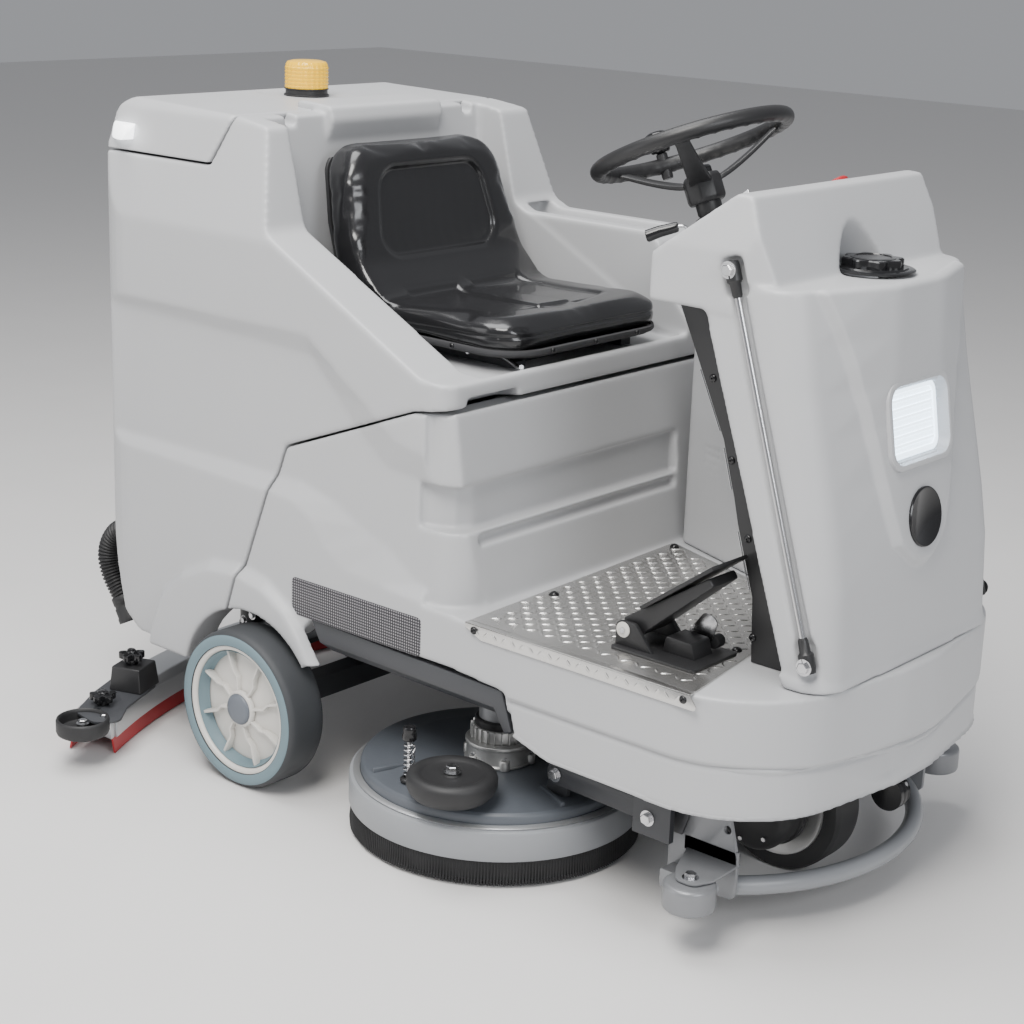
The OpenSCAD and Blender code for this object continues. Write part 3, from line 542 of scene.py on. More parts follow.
PANEL_IN = [(-560, 592), (-408, 592), (-20, 592), (92, 593), (180, 572), (246, 540), (302, 522), (385, 470),
            (455, 452), (500, 448), (560, 448), (560, 660), (440, 650), (300, 660), (216, 726), (166, 776),
            (112, 826), (-100, 832), (-422, 842), (-560, 842)]


def arch_outline(grow):
    return [(-302 - grow, 190), (-292 - grow, 232), (-262 - grow * 0.8, 300 + grow * 0.4),
            (-205 - grow * 0.5, 352 + grow * 0.7),
            (-128, 388 + grow), (-50, 396 + grow), (20, 384 + grow), (78, 352 + grow * 0.9),
            (122, 306 + grow * 0.6),
            (152 + grow * 0.6, 262), (186 + grow, 232), (150 + grow, 190)]


def side_cut(s):
    """The shallow panel let into each side, from the crease under the lid down to the shoulder."""
    return prism(PANEL_OUT, "y", s * 404, s * 386, "cut", PANEL_IN)


def fender(s):
    return prism(arch_outline(16), "y", s * 398, s * 421, "fender", arch_outline(-6))


def arch_hole(s):
    return cyl(-15, 150, 177, s * 352, s * 470)


tank = prism(TANK_SIDE, "y", -HALF, HALF, "recovery_tank_shell")
csg(tank, ("&", prism(TANK_FRONT, "x", -500, 500)), ("&", prism(TANK_PLAN, "z", 150, 1300)),
    ("-", side_cut(-1)), ("-", side_cut(1)))
wings = [prism([(-486, 190), (-60, 190), (-75, 300), (-75, 321), (-52, 391), (-15, 490), (-486, 490)], "y",
               s * 380, s * 440)
         for s in (-1, 1)]
for s, w in zip((-1, 1), wings):
    csg(w, ("&", fender(s)))
    csg(tank, ("+", w))
arm = prism([(-120, 900), (-60, 1008), (335, 1008), (366, 990), (405, 894), (446, 850), (446, 826),
             (-120, 826)],
            "y", 270, 396, "arm")
csg(arm, ("&", prism(TANK_PLAN, "z", 800, 1100)))
csg(tank, ("+", arm),
    # seat recess, the lid's place and the shallow tray in the armrest
    ("-", prism([(-105, 1300), (-62, 815), (430, 815), (430, 860), (600, 860), (600, 1300)], "y", -300, 268)),
    ("-", prism([(-600, LID_Z), (-166, LID_Z), (-128, 1204), (-120, 1232), (-600, 1300)], "y", -500, 500)),
    ("-", prism(outline([(-10, 300, 12), (320, 300, 12), (320, 370, 12), (-10, 370, 12)]), "z", 984, 1020)),
    # water space under the lid, wheel arches, room for the frame
    ("-", block((-430, -352, 560), (-185, 352, 1160))),
    ("-", arch_hole(-1)), ("-", arch_hole(1)),
    ("-", block((-400, -352, 150), (-60, 352, 336))),
    ("-", block((-420, -160, 250), (-356, 160, 341))),
    # finger grip under the seat deck's front lip, and a step beside the seat back
    ("-", block((395, -345, 775), (470, -215, 800))),
    ("-", prism([(-150, 1190), (-60, 1190), (-40, 1230), (-150, 1240)], "y", -250, -225)),
    ("-", prism([(-150, 1190), (-60, 1190), (-40, 1230), (-150, 1240)], "y", 225, 250)))
# the moulded cover over the seat back
csg(tank, ("+", prism(outline([(-175, 1150), (-95, 1150), (-78, 1196, 8), (-86, 1222, 8), (-175, 1228, 8)]),
                      "y", -150, 150)))
mould(tank, 4.0, 5)
finish(tank, "recovery_tank", "light_shell", 180, node="recovery_tank")

lid = prism(TANK_SIDE, "y", -HALF, HALF, "tank_lid_shell")
csg(lid, ("&", prism(TANK_FRONT, "x", -500, 500)), ("&", prism(TANK_PLAN, "z", 150, 1300)),
    ("&", prism([(-600, LID_Z + 4), (-171, LID_Z + 4), (-131.5, 1204), (-123.5, 1232), (-600, 1300)], "y",
                -500, 500)),
    ("-", block((-430, -330, 1090), (-182, 330, 1188))),
    ("-", prism(outline([(-402, -60, 50), (-180, -80, 30), (-180, 80, 30), (-402, 60, 50)]), "z", 1217,
                1240)))
mould(lid, 3.6, 6)
finish(lid, "tank_lid", "light_shell", 180, node="tank_lid")

# lamp strips at the lid's rear corners
for s, side in SIDES:
    strip = []
    centre, rad = Vector((-374, -292)), 108.0
    for k in range(46):
        d = k * 5.2
        if d < 64:
            x, y, nx, ny = -482.0, -228 - d, -1.0, 0.0
        elif d < 64 + rad * math.pi / 2:
            t = (d - 64) / rad
            nx, ny = -math.cos(t), -math.sin(t)
            x, y = centre.x + rad * nx, centre.y + rad * ny
        else:
            x, y, nx, ny = centre.x + (d - 64 - rad * math.pi / 2), -400.0, 0.0, -1.0
        if x > -300:
            break
        strip.append((x, y, nx, ny))
    verts = []
    for i, (x, y, nx, ny) in enumerate(strip):
        # the shell leans in with height, so the strip does too
        for h, out in ((1147, -26), (1147, 0.6), (1150, 2.2), (1161, 2.6), (1172, 2.2), (1175, 0.6),
                       (1175, -26)):
            lean = (h - 1120) * 0.17 if nx > -0.8 else (h - 1120) * 0.13
            end = min(1, 0.25 + min(i, len(strip) - 1 - i) / 3)
            verts.append(P(x + nx * (out * end - 3.5 - lean), s * -1 * (y + ny * (out * end - 3.5 - lean)),
                           1161 + (h - 1161) * end))
    faces = side_faces(len(strip), 7) + end_faces(len(strip), 7)
    finish(make("lid_strip_" + side, verts, faces), "tank_lid", "strip_glow", 50)
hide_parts("lid_lights")

# beacon: dark foot, ribbed lens
bc = P(-304, 0, 1217)
finish(lathe([(0, 0), (44, 0), (44, 3), (41, 5), (41, 12), (43, 13), (43, 15), (0, 15)], bc, UP, 64,
             "beacon_foot"),
       "tank_lid", "black_plastic", 40)
lens = lathe([(0, 14), (40, 14)] + [p for k in range(6)
                                    for p in ((41.5, 16 + 7 * k), (41.5, 20 + 7 * k), (40.2, 21.2 + 7 * k))]
             + [(40, 60), (37, 65), (28, 67.5), (0, 68)], bc, UP, 96, "beacon_lens")
co = coords_of(lens)
ang = np.arctan2(co[:, 1] - bc.y, co[:, 0] - bc.x)
rr = np.hypot(co[:, 1] - bc.y, co[:, 0] - bc.x)
wave = 1 + 0.018 * np.sin(ang * 24) * (rr > 0.03)
co[:, 0], co[:, 1] = bc.x + (co[:, 0] - bc.x) * wave, bc.y + (co[:, 1] - bc.y) * wave
set_coords(lens, co)
finish(lens, "tank_lid", "amber", 40, node="beacon")

# ---------------------------------------------------------------- body and platform
BODY_PLAN = outline(both([(-95, -HALF, 0), (1092, -HALF, 205), (1146, -50, 280)]), 14)
BODY_SIDE = PART_LINE[:4] + [(372, 771), (438, 775), (446, 782), (478, 437), (1180, 437), (1180, 236),
                             (884, 236),
                             (684, 240), (610, 262), (590, 335), (470, 345), (130, 345), (64, 272)]
body = prism(BODY_SIDE, "y", -HALF, HALF, "solution_tank_shell")
csg(body, ("&", prism(BODY_PLAN, "z", 200, 800)),
    ("-", side_cut(-1)), ("-", side_cut(1)))
for s in (-1, 1):
    w = prism([(-71, 180), (-71, 318), (-48, 388), (-10, 490), (240, 490), (240, 262), (130, 262),
               (130, 180)], "y", s * 380, s * 440)
    csg(w, ("&", fender(s)))
    csg(body, ("+", w))
corner = csg(prism([(400, -420), (500, -420), (500, -320), (400, -320)], "z", 440, 900),
             ("-", prism(outline([(380, -386), (474, -386, 62), (474, -300), (380, -300)], 12), "z", 430,
                         910)))
csg(body, ("-", corner),
    ("-", arch_hole(-1)), ("-", arch_hole(1)),
    ("-", block((-200, -352, 200), (560, 352, 345))),
    ("-", prism(outline(both([(500, -374), (1074, -374, 140), (1136, -50, 220)])), "z", 200, 336)),
    ("-", block((66, -310, 352), (390, 310, 900))),
    # long recess in the wall under the seat
    ("-", prism([(376, -420), (520, -420), (520, 232), (447, 232), (443, -322), (427, -352), (376, -372)],
                "z", 572, 652)))
csg(body, ("-", prism([(455, 548), (530, 528), (530, 566), (455, 566)], "y", -330, 226)))
mould(body, 4.0, 5)
co = coords_of(body)
x, y, z = co[:, 0] * 1000 - AXLE, co[:, 1] * 1000, co[:, 2] * 1000
# the groove round the platform's side, dipping at the nose, with the step below it
line = 322 - 26 * smoothstep((x - 1040) / 110) * (1 - np.abs(y) / 420)
side_face = (np.abs(normals_of(body)[:, 2]) < 0.5) & (x > 600) & (z > 236)
d = z - line
no = normals_of(body)
depth = np.where(side_face, -4.6 * np.exp(-(d / 4.0) ** 2) - 4.5 * smoothstep((7 - d) / 8), 0)
co += no * (depth / 1000)[:, None]
# the light chamfer at the nose, a shallow V under the groove
nose = smoothstep((x - 1090) / 60) * side_face
vee = np.clip(1 - np.abs(y + 60) / (16 + (z - 236) * 2.1), 0,
              1) * smoothstep((z - 240) / 20) * smoothstep((318 - z) / 16)
co[:, 0] -= nose * vee * 0.010
set_coords(body, co)
finish(body, "chassis", "light_shell", 180, node="solution_tank")

# dark strip under the body's light edge, between the wheel arch and the platform's deeper front: the body's
# down-facing underside, with painted shade for its dark colour
for s, side in SIDES:
    shade_strip_and_skirt = prism([(128, 344), (582, 334), (606, 268), (590, 262), (566, 300), (150, 306)],
                  "y", s * 396, s * 372, "painted_shade_belly_" + side,
                  [(150, 344), (580, 334), (600, 262), (584, 250), (560, 280), (160, 286)])
    # the dark colour stands in for the shade on this down-facing underside: painted shade
    finish(shade_strip_and_skirt, "chassis", "dark_frame", 30, 1.5)

# patterned dark panel on each side
for s, side in SIDES:
    pts = outline([(85, 347, 9), (402, 347, 9), (402, 417, 9), (85, 417, 9)])
    finish(prism(pts, "y", s * 401.2, s * 403.0, "decal_" + side), "chassis", "decal", 30, 0.4)
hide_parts("side_decals")

# ---------------------------------------------------------------- front cowl
STAY_TOP, STAY_FOOT = P(902, -267, 1066), P(1086, -269, 490)
STAY_WAY = (STAY_FOOT - STAY_TOP).normalized()
FILL_X, SHELF_Z = 984, 1050
LAMP, BADGE = P(1094.5, 0, 829), P(1107.5, 0, 674)
LAMP_AXIS, BADGE_AXIS = Vector((0.985, 0, 0.17)).normalized(), Vector((0.989, 0, 0.15)).normalized()


def cowl_plan(z, shrink=0.0):
    zs = (437, 594, 674, 747, 829, 894, 1050)
    rear = 1050 + (835 - 1050) * (z - 437) / 613
    corner = float(np.interp(z, zs, (1121, 1111, 1095, 1077, 1055, 1037, 1003)))
    nose = float(np.interp(z, zs, (1126, 1116, 1105, 1093, 1081, 1074, 1064)))
    side = float(np.interp(z, zs, (272, 271, 270, 269, 268, 268, 265)))
    return outline(both([(rear, -side + shrink), (corner - shrink, -side + shrink, 58 - shrink),
                         (nose - shrink, -70, 120 - shrink)]), 10)


def loft(sections, name):
    """Closed solid through plan outlines (points, height) that share a point count."""
    n = len(sections[0][0])
    verts = [P(p[0], p[1], z) for pts, z in sections for p in pts]
    return make(name, verts, end_faces(len(sections), n) + side_faces(len(sections), n))


def lamp_solid(w, h, r, d0, d1, scale=1.0):
    """Rounded box on the lamp's own axis: w across, h high, from d0 to d1 along it."""
    up = LAMP_AXIS.cross(LEFT)
    up = up if up.z > 0 else -up
    verts = []
    for d, k in ((d0, scale), (d1, 1.0)):
        for y, z in outline([(-w / 2 * k, -h / 2 * k, r), (w / 2 * k, -h / 2 * k, r),
                             (w / 2 * k, h / 2 * k, r), (-w / 2 * k, h / 2 * k, r)], 8):
            verts.append(LAMP + LAMP_AXIS * (d / 1000) + LEFT * (y / 1000) + up * (z / 1000))
    n = len(verts) // 2
    return make("lamp_solid", verts, end_faces(2, n) + side_faces(2, n))


cowl = loft([(cowl_plan(z), z) for z in (437.6, 520, 594, 674, 747, 829, 894, 970, 1050)], "front_cowl_shell")
dash = prism([(655, 1002), (645, 1048), (748, 1080), (890, 1184), (918, 1182), (976, 1040), (976, 1002)],
             "y", -268, 268)
csg(dash, ("&", prism(both([(640, -110), (748, -268), (925, -268), (990, -240)]), "z", 900, 1300)),
    ("&", prism([(-269, 990), (-269, 1090), (-248, 1200), (248, 1200), (269, 1090), (269, 990)], "x", 600,
                1020)))
flange = prism([(p[0] + (5 if p[0] > 1060 else 0), p[1] * 1.018) for p in cowl_plan(437.6)], "z", 437.6,
               458, "f",
               [(p[0] + (5 if p[0] > 1060 else 0) - 7, p[1] * 1.016) for p in cowl_plan(458)])
csg(cowl, ("+", dash), ("+", flange))
inner = loft([(cowl_plan(z, 26), z) for z in (430, 520, 594, 674, 747, 829, 894, 970, 1040)], "inner")
inner.data.transform(Matrix.Translation((-0.010, 0, 0)))
csg(cowl, ("-", inner))
hollow = prism([(668, 990), (660, 1040), (744, 1070), (886, 1174), (911, 1172), (966, 1030), (966, 990)],
               "y", -238, 238)
csg(hollow, ("&", prism(both([(654, -102), (756, -258), (920, -258), (980, -230)]), "z", 900, 1300)))
csg(cowl, ("-", hollow))
scoop_wall = csg(rod(P(FILL_X, 0, 1040), P(FILL_X, 0, 1150), 84, 64, "scoop_wall", 47),
                 ("&", prism([(660, 1030), (748, 1080), (890, 1184), (918, 1182), (976, 1040), (976, 1030)],
                             "y", -260, 260)))
csg(cowl, ("+", scoop_wall),
    ("-", rod(P(FILL_X, 0, SHELF_Z + 0.5), P(FILL_X, 0, 1144), 72, 64, "scoop", 38)),
    ("-", rod(P(FILL_X, 0, 1000), P(FILL_X, 0, 1100), 48, 64)),
    ("-", lamp_solid(184, 134, 28, -60, 60)),
    ("-", rod(P(661, 0, 1118), P(700, 0, 1030), 38, 48)))
PANEL_AT = P(822, 0, 1134)
tilt = Matrix.Rotation(math.radians(-36.2), 4, "Y")
panel_seat = block((-66 - AXLE, -200, -15), (66 - AXLE, 200, 15))
panel_seat.data.transform(Matrix.Translation(PANEL_AT) @ tilt)
csg(cowl, ("-", panel_seat))
for s in (-1, 1):
    flip = Matrix.Scale(s * -1, 4, (0, 1, 0))
    groove = rod(STAY_TOP + STAY_WAY * 0.02, STAY_FOOT + STAY_WAY * 0.004, 13, 24)
    top_pocket = rod(STAY_TOP - STAY_WAY * 0.024, STAY_TOP + STAY_WAY * 0.036, 20, 32)
    foot_pocket = rod(STAY_FOOT - STAY_WAY * 0.030, STAY_FOOT + STAY_WAY * 0.030, 17, 32)
    for cutter in (groove, top_pocket, foot_pocket):
        cutter.data.transform(flip)
        if s > 0:
            cutter.data.flip_normals()
        csg(cowl, ("-", cutter))
mould(cowl, 3.6, 7)
co = coords_of(cowl)
no = normals_of(cowl)
x, y, z = co[:, 0] * 1000 - AXLE, co[:, 1] * 1000, co[:, 2] * 1000
# raised tongue down the middle of the nose, with soft sides, that ends round the badge
half_w = np.interp(z, (590, 640, 700, 780, 860, 960, 1052), (10, 74, 96, 118, 138, 172, 214))
bottom = smoothstep((z - 588) / 24)
rise = smoothstep((half_w - np.abs(y)) / 20 + 0.5) * bottom * smoothstep((1052 - z) / 10)
front = smoothstep((x - (1010 - (z - 437) * 0.03)) / 30) * (no[:, 0] > 0.2) * (z < 1049)
co += no * (rise * front * 0.0125)[:, None]
set_coords(cowl, co)
finish(cowl, "chassis", "light_shell", 180, node="front_cowl")

# lamp: recessed frame, stepped glowing lens
frame_ring = csg(lamp_solid(192, 142, 32, -52, 2.5), ("-", lamp_solid(181, 131, 27, -44, 20, 0.82)))
finish(frame_ring, "chassis", "light_shell", 30, 1.2, node="headlight_bezel")
lens = csg(lamp_solid(162, 114, 20, -44, -16, 0.97), ("-", lamp_solid(144, 94, 14, -20, 0)))
finish(lens, "chassis", "lamp_glow", 30, 2.5, node="headlight_lens")
ribs = [lamp_solid(138, 4.0, 1.6, -21, -17.4) for k in range(6)]
for k, r_ in enumerate(ribs):
    r_.data.transform(Matrix.Translation(Vector((-0.17, 0, 0.985)) * ((k - 2.5) * 0.0145)))
finish(join("lamp_ribs", *ribs), "chassis", "lamp_glow", 30)

# plain dark badge disc with a raised edge
badge = lathe([(0, -8), (49, -8), (49, 1.6), (47.5, 3), (45, 3), (44, 2.2), (0, 2.2)], BADGE, BADGE_AXIS,
              96, "badge")
badge.data.transform(Matrix.Translation(BADGE_AXIS * 0.0112))
finish(badge, "chassis", "black_gloss", 40, node="badge_disc")

# stay rods: chrome rod with a seam of light, black end fittings, hex bolts
for s, side in SIDES:
    def hand(o):
        if s > 0:
            o.data.transform(Matrix.Scale(-1, 4, (0, 1, 0)))
            o.data.flip_normals()
        return o
    r1 = rod(STAY_TOP + STAY_WAY * 0.02, STAY_FOOT - STAY_WAY * 0.02, 5.2, 32, "stay_rod_" + side)
    finish(hand(r1), "chassis", "bright_steel", 40)
    ends = []
    for at, way in ((STAY_TOP, STAY_WAY), (STAY_FOOT, -STAY_WAY)):
        ends.append(lathe([(0, -20), (11, -18), (12.5, -10), (12.5, 12), (9, 16), (8, 34), (6.5, 38),
                           (0, 38)], at, way, 32))
    finish(hand(join("stay_ends_" + side, *ends)), "chassis", "black_plastic", 40)
    for nm, at in (("top", STAY_TOP - STAY_WAY * 0.006), ("foot", STAY_FOOT + STAY_WAY * 0.006)):
        hex_bolt(Vector((at.x, s * (abs(at.y) + 0.011), at.z)), (0, s, 0), 17, 7,
                 name=f"stay_bolt_{nm}_{side}", turn=(0.3, 0, 1))
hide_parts("cowl_stays")

# water cap: flange, lobed grip
cap_at = P(FILL_X, 0, SHELF_Z + 4.4)
cap = lathe([(0, 0), (69, 0), (69, 2.4), (66, 4), (58, 4.6), (56, 7), (0, 7)], cap_at, UP, 96, "cap_flange")
grip_pts = []
for k in range(160):
    a = 2 * math.pi * k / 160
    rr_ = 46 + 4.5 * math.cos(8 * a)
    grip_pts.append((FILL_X + rr_ * math.cos(a), rr_ * math.sin(a)))
g1 = prism(grip_pts, "z", SHELF_Z + 10, SHELF_Z + 22, "g", grip_pts)
g2 = prism(grip_pts, "z", SHELF_Z + 21.9, SHELF_Z + 24, "g", [(FILL_X + (p[0] - FILL_X) * 0.95, p[1] * 0.95)
                                                              for p in grip_pts])
g3 = lathe([(36, 18), (36, 20.2), (30, 21), (28, 18)], cap_at, UP, 64)
finish(join("filler_cap_moulding", cap, g1, g2, g3), "filler_cap", "black_gloss", 30, node="filler_cap")


# dash panel: face plate, display, switches
def on_panel(o):
    o.data.transform(Matrix.Translation(PANEL_AT) @ tilt)
    return o


def panel_block(x0, x1, y0, y1, z0, z1, name, r=6):
    pts = outline([(x0, y0, r), (x1, y0, r), (x1, y1, r), (x0, y1, r)], 6)
    verts = [Vector((p[0] / 1000, p[1] / 1000, zz / 1000)) for zz in (z0, z1) for p in pts]
    return on_panel(make(name, verts, end_faces(2, len(pts)) + side_faces(2, len(pts))))


def panel_point(x_, y_, z_):
    return Matrix.Translation(PANEL_AT) @ tilt @ Vector((x_ / 1000, y_ / 1000, z_ / 1000))


PANEL_UP = (tilt @ UP).normalized()
finish(panel_block(-64, 64, -198, 198, -9, 0.8, "dash_face", 14), "chassis", "black_plastic", 30, 1.0,
       node="dash_panel")
finish(panel_block(-28, 42, -24, 84, 0.6, 5, "dash_display_frame", 8), "chassis", "black_gloss", 30, 1.2)
finish(panel_block(-20, 34, -15, 75, 4.8, 5.6, "dash_display_glass", 4), "chassis", "cap_grey", 30, 0.2)
for k in range(4):
    finish(panel_block(-26, -14, 96 + 22 * k - 7, 96 + 22 * k + 7, 0.6, 4, f"dash_key_{k}", 3), "chassis",
           "grey_steel", 30, 0.6)
finish(lathe([(0, 0), (16, 0), (16, 3), (9, 4), (9, 14), (20, 16), (20, 26), (17, 29), (0, 29)],
             panel_point(10, 150, 0.6), PANEL_UP, 48, "stop_button"),
       "chassis", "red_rubber", 40)
finish(lathe([(0, 0), (12, 0), (12, 3), (9, 4), (9, 8), (3, 8), (3, 10), (0, 10)],
             panel_point(6, -110, 0.6), PANEL_UP, 40, "key_switch"),
       "chassis", "bright_steel", 40)
key = panel_block(-2, 14, -111.2, -108.8, 9, 34, "key_blade", 0.8)
finish(key, "chassis", "bright_steel", 30, 0.4)
finish(lathe([(0, 0), (14, 0), (13, 10), (11, 14), (0, 15)], panel_point(4, -60, 0.6), PANEL_UP, 40,
             "dial_knob"), "chassis", "black_gloss", 40)

# lever on a bent wire, with a round grip
root = P(775, -215, 1085)
wire = smooth_path([root, root + Vector((0, 0, 0.018)), P(775, -215, 1110), P(771, -218, 1116),
                    P(758, -227, 1114), P(745, -236, 1107)], 8)
lever_grip = sweep([P(764, -223, 1114.6), P(763, -223.6, 1114.4), P(760, -226, 1113.5), P(740, -239, 1106),
                    P(724, -250, 1097.6), P(722.6, -251, 1097)], 9, 28,
                   "lever_grip", radii=[5.5, 7.5, 8.4, 9.4, 10, 7.5])
finish(sweep(wire, 2.6, 16, "lever_wire"), "dash_lever", "bright_steel", 60)
finish(lever_grip, "dash_lever", "black_gloss", 40, node="dash_lever")

# ---------------------------------------------------------------- console, column cover, steering column
console = prism(outline([(482, 396), (482, 232, 26), (720, 142, 30), (905, 142), (1000, 200), (1040, 396)]),
                "z", 437.3, 1000, "left_console_shell")
csg(console, ("&", prism(outline([(482, 437), (482, 900, 30), (640, 990, 40), (820, 990, 12), (1028, 437)]),
                         "y", 100, 396)),
    ("-", csg(prism([(490, 388), (490, 240), (722, 150), (900, 150), (992, 205), (1030, 388)], "z", 430,
                    1000),
              ("&", prism([(490, 430), (490, 892), (642, 982), (812, 982), (1020, 430)], "y", 100, 388)))),
    ("-", prism([(818, 1001), (1030, 436), (1300, 436), (1300, 1001)], "y", 100, 400)),
    ("-", prism([(764, 1002), (814, 899), (867, 789), (894, 699), (904, 659), (941, 544), (947, 436),
                 (1300, 436), (1300, 1002)],
                "y", 100, 137)))
for k in range(8):
    csg(console, ("-", block((540, 150, 540 + 14 * k), (590, 232, 545 + 14 * k))))
mould(console, 3.6, 5)
finish(console, "chassis", "light_shell", 180, node="left_console")

cover_out = [(765, 1001), (842, 1001), (1038, 437.6), (948, 437.6), (942, 545), (905, 660), (895, 700),
             (868, 790), (815, 900)]
cover = prism(cover_out, "y", -214, 136, "column_cover_shell")
csg(cover, ("-", prism([(775, 993), (836, 993), (1026, 446), (956, 446), (950, 546), (913, 662), (903, 702),
                        (876, 793), (823, 903)],
                       "y", -207, 129)))
# clamp steps across the cover's back
for (xa, za), (xb, zb) in (((895, 700), (868, 790)), ((942, 545), (905, 660))):
    csg(cover, ("+", prism([(xa - 7, za), (xb - 7, zb), (xb + 3, zb), (xa + 3, za)], "y", -190, 112)))
finish(cover, "chassis", "black_plastic", 30, 2.0, node="column_cover")
for k, ((xa, za), (xb, zb)) in enumerate((((815, 900), (865, 797)), ((870, 783), (893, 707)),
                                          ((907, 653), (940, 551)))):
    d = Vector((xb - xa, 0, zb - za)).normalized() * 0.006
    finish(rod(P(xa - 2.4, -213.4, za) + d, P(xb - 2.4, -213.4, zb) - d, 1.3, 10, f"cover_edge_{k}"),
           "chassis", "bright_steel", 60)
for k, (x_, z_) in enumerate(((835, 885), (880, 760), (921, 640), (943, 480))):
    dome(P(x_ + 6, -214, z_), (0, -1, 0), 6.5, 3.2, f"cover_screw_{k}", "chassis", "black_gloss")

CENTRE = P(621, 0, 1213)
RAKE = math.radians(23.7)            # the column leans back from upright
WAY = Vector((-math.sin(RAKE), 0, math.cos(RAKE)))
W_X = Vector((math.cos(RAKE), 0, math.sin(RAKE)))
shaft = lathe([(0, -230), (9.6, -230), (9.6, -83), (0, -83)], CENTRE, WAY, 32, "steering_shaft")
prof = [(10, -178)]
for k in range(5):
    h = -176 + 11.6 * k
    prof += [(33 - 1.4 * k, h), (34 - 1.4 * k, h + 3), (33 - 1.4 * k, h + 6), (25 - 1.2 * k, h + 9),
             (25 - 1.2 * k, h + 10)]
prof += [(22, -117), (22, -113), (10, -113)]
bellows = lathe(prof, CENTRE, WAY, 64, "column_bellows")
finish(shaft, "chassis", "dark_frame", 40)
finish(bellows, "chassis", "black_rubber", 50, node="steering_column")


# ---------------------------------------------------------------- steering wheel and knob
def wheel_point(r, a, h):
    t = math.radians(a)
    return CENTRE + (W_X * (r * math.cos(t)) + LEFT * (r * math.sin(t)) + WAY * h) / 1000


rim_v, rim_f = [], []
n_a, n_c = 216, 20
for i in range(n_a):
    a = 360 * i / n_a
    bump = 1.5 * max(0.0, math.cos(math.radians(a * 36))) ** 2
    for k in range(n_c):
        t = 2 * math.pi * k / n_c
        under = max(0.0, -math.sin(t) * 0.7 - math.cos(t) * 0.5)
        rr_ = 13.2 + bump * under
        rim_v.append(wheel_point(163 + rr_ * math.cos(t), a, rr_ * math.sin(t) * 1.02))
for i in range(n_a):
    for k in range(n_c):
        j, l = (i + 1) % n_a, (k + 1) % n_c
        rim_f.append((i * n_c + k, i * n_c + l, j * n_c + l, j * n_c + k))
rim = make("wheel_rim", rim_v, rim_f)
finish(rim, "steering_wheel", "black_plastic", 180, node="steering_wheel")
for k, a in enumerate((60, 180, 300)):
    verts = []
    ring = ((-1, -1), (1, -1), (1.06, 0.4), (0.7, 1), (-0.7, 1), (-1.06, 0.4))
    steps = 14
    for i in range(steps + 1):
        t = i / steps
        r = 26 + (160 - 26) * t
        h = -62 + 62 * (t ** 1.25) - 2
        w = 19 - 8.5 * t + 7 * max(0, (t - 0.86) / 0.14) ** 2
        th = 5.2 - 1.2 * t
        for u_, v_ in ring:
            c = wheel_point(r, a, h + v_ * th)
            side = (-W_X * math.sin(math.radians(a)) + LEFT * math.cos(math.radians(a)))
            verts.append(c + side * (u_ * w / 1000))
    faces = side_faces(steps + 1, len(ring)) + end_faces(steps + 1, len(ring))
    finish(make(f"wheel_spoke_{k}", verts, faces), "steering_wheel", "black_plastic", 40, 1.2)
hub = lathe([(0, -100), (30, -100), (34, -94), (34, -60), (30, -52), (0, -52)], CENTRE, WAY, 8,
            "wheel_hub_block", turn=wheel_point(10, 22.5, 0) - CENTRE)
csg(hub, ("-", lathe([(0, -130), (10.6, -130), (10.6, -79), (0, -79)], CENTRE, WAY, 32)))
finish(hub, "steering_wheel", "black_plastic", 25, 2.5)
cap_ = lathe([(0, -53), (21, -53), (22, -50), (22, -42), (19, -38), (0, -37)], CENTRE, WAY, 8,
             "wheel_hub_cap", turn=wheel_point(10, 22.5, 0) - CENTRE)
finish(cap_, "steering_wheel", "black_gloss", 25, 2.0)
finish(lathe([(11, -116), (21, -116), (22, -112), (22, -99), (11, -99)], CENTRE, WAY, 40,
             "wheel_hub_collar"), "steering_wheel", "black_plastic", 40)
post = lathe([(0, -24), (9, -24), (10, -20), (10, 20), (8, 22), (0, 22)], wheel_point(163, 145, 0), WAY, 32,
             "knob_post")
finish(post, "steering_wheel", "black_plastic", 40)
knob = lathe([(0, 22.6), (15, 22.6), (17, 25), (19, 32), (23.4, 40), (24, 48), (21, 56), (14, 60), (0, 61.5)],
             wheel_point(163, 145, 0), WAY, 48, "knob_ball")
finish(knob, "spinner_knob", "black_gloss", 60, node="spinner_knob")

# ---------------------------------------------------------------- footplate with raised lozenges
PLATE = [(505, -392), (482, 212), (560, 184), (720, 132), (900, 80), (925, -160), (966, -392)]
plate = prism(outline([(*p, 8) for p in PLATE]), "z", 437.3, 440.0, "footplate_sheet")
flange_ = prism(outline([(505, 440), (505, 431, 3), (540, 415, 8), (985, 415, 6), (966, 440)]), "y", -405.4,
                -402.8, "fl")
bend = prism([(505, -405.4), (505, -390), (966, -390), (966, -405.4)], "z", 437.4, 439.95, "bend")
finish(join("footplate_sheet", plate, flange_, bend), "chassis", "chequer", 30, 0.8, node="footplate")
loz_v, loz_f = [], []


def lozenge(centre, along, across, normal, length=12.5, width=3.6, height=1.3):
    """A low pointed bump: length and width are half sizes in mm."""
    k = len(loz_v)
    for w, h in ((1.0, 0.0), (0.72, 0.62), (0.35, 1.0)):
        for i in range(12):
            t = 2 * math.pi * i / 12
            c, s_ = math.cos(t), math.sin(t)
            loz_v.append(centre + (along * (math.copysign(abs(c) ** 1.2, c) * length * w) + across
                                   * (math.copysign(abs(s_) ** 0.9, s_) * width * w)
                                   + normal * (height * h - 0.15)) / 1000)
    for r in range(2):
        for i in range(12):
            j = (i + 1) % 12
            loz_f.append((k + r * 12 + i, k + r * 12 + j, k + (r + 1) * 12 + j, k + (r + 1) * 12 + i))
    loz_f.append(tuple(range(k + 24, k + 36)))


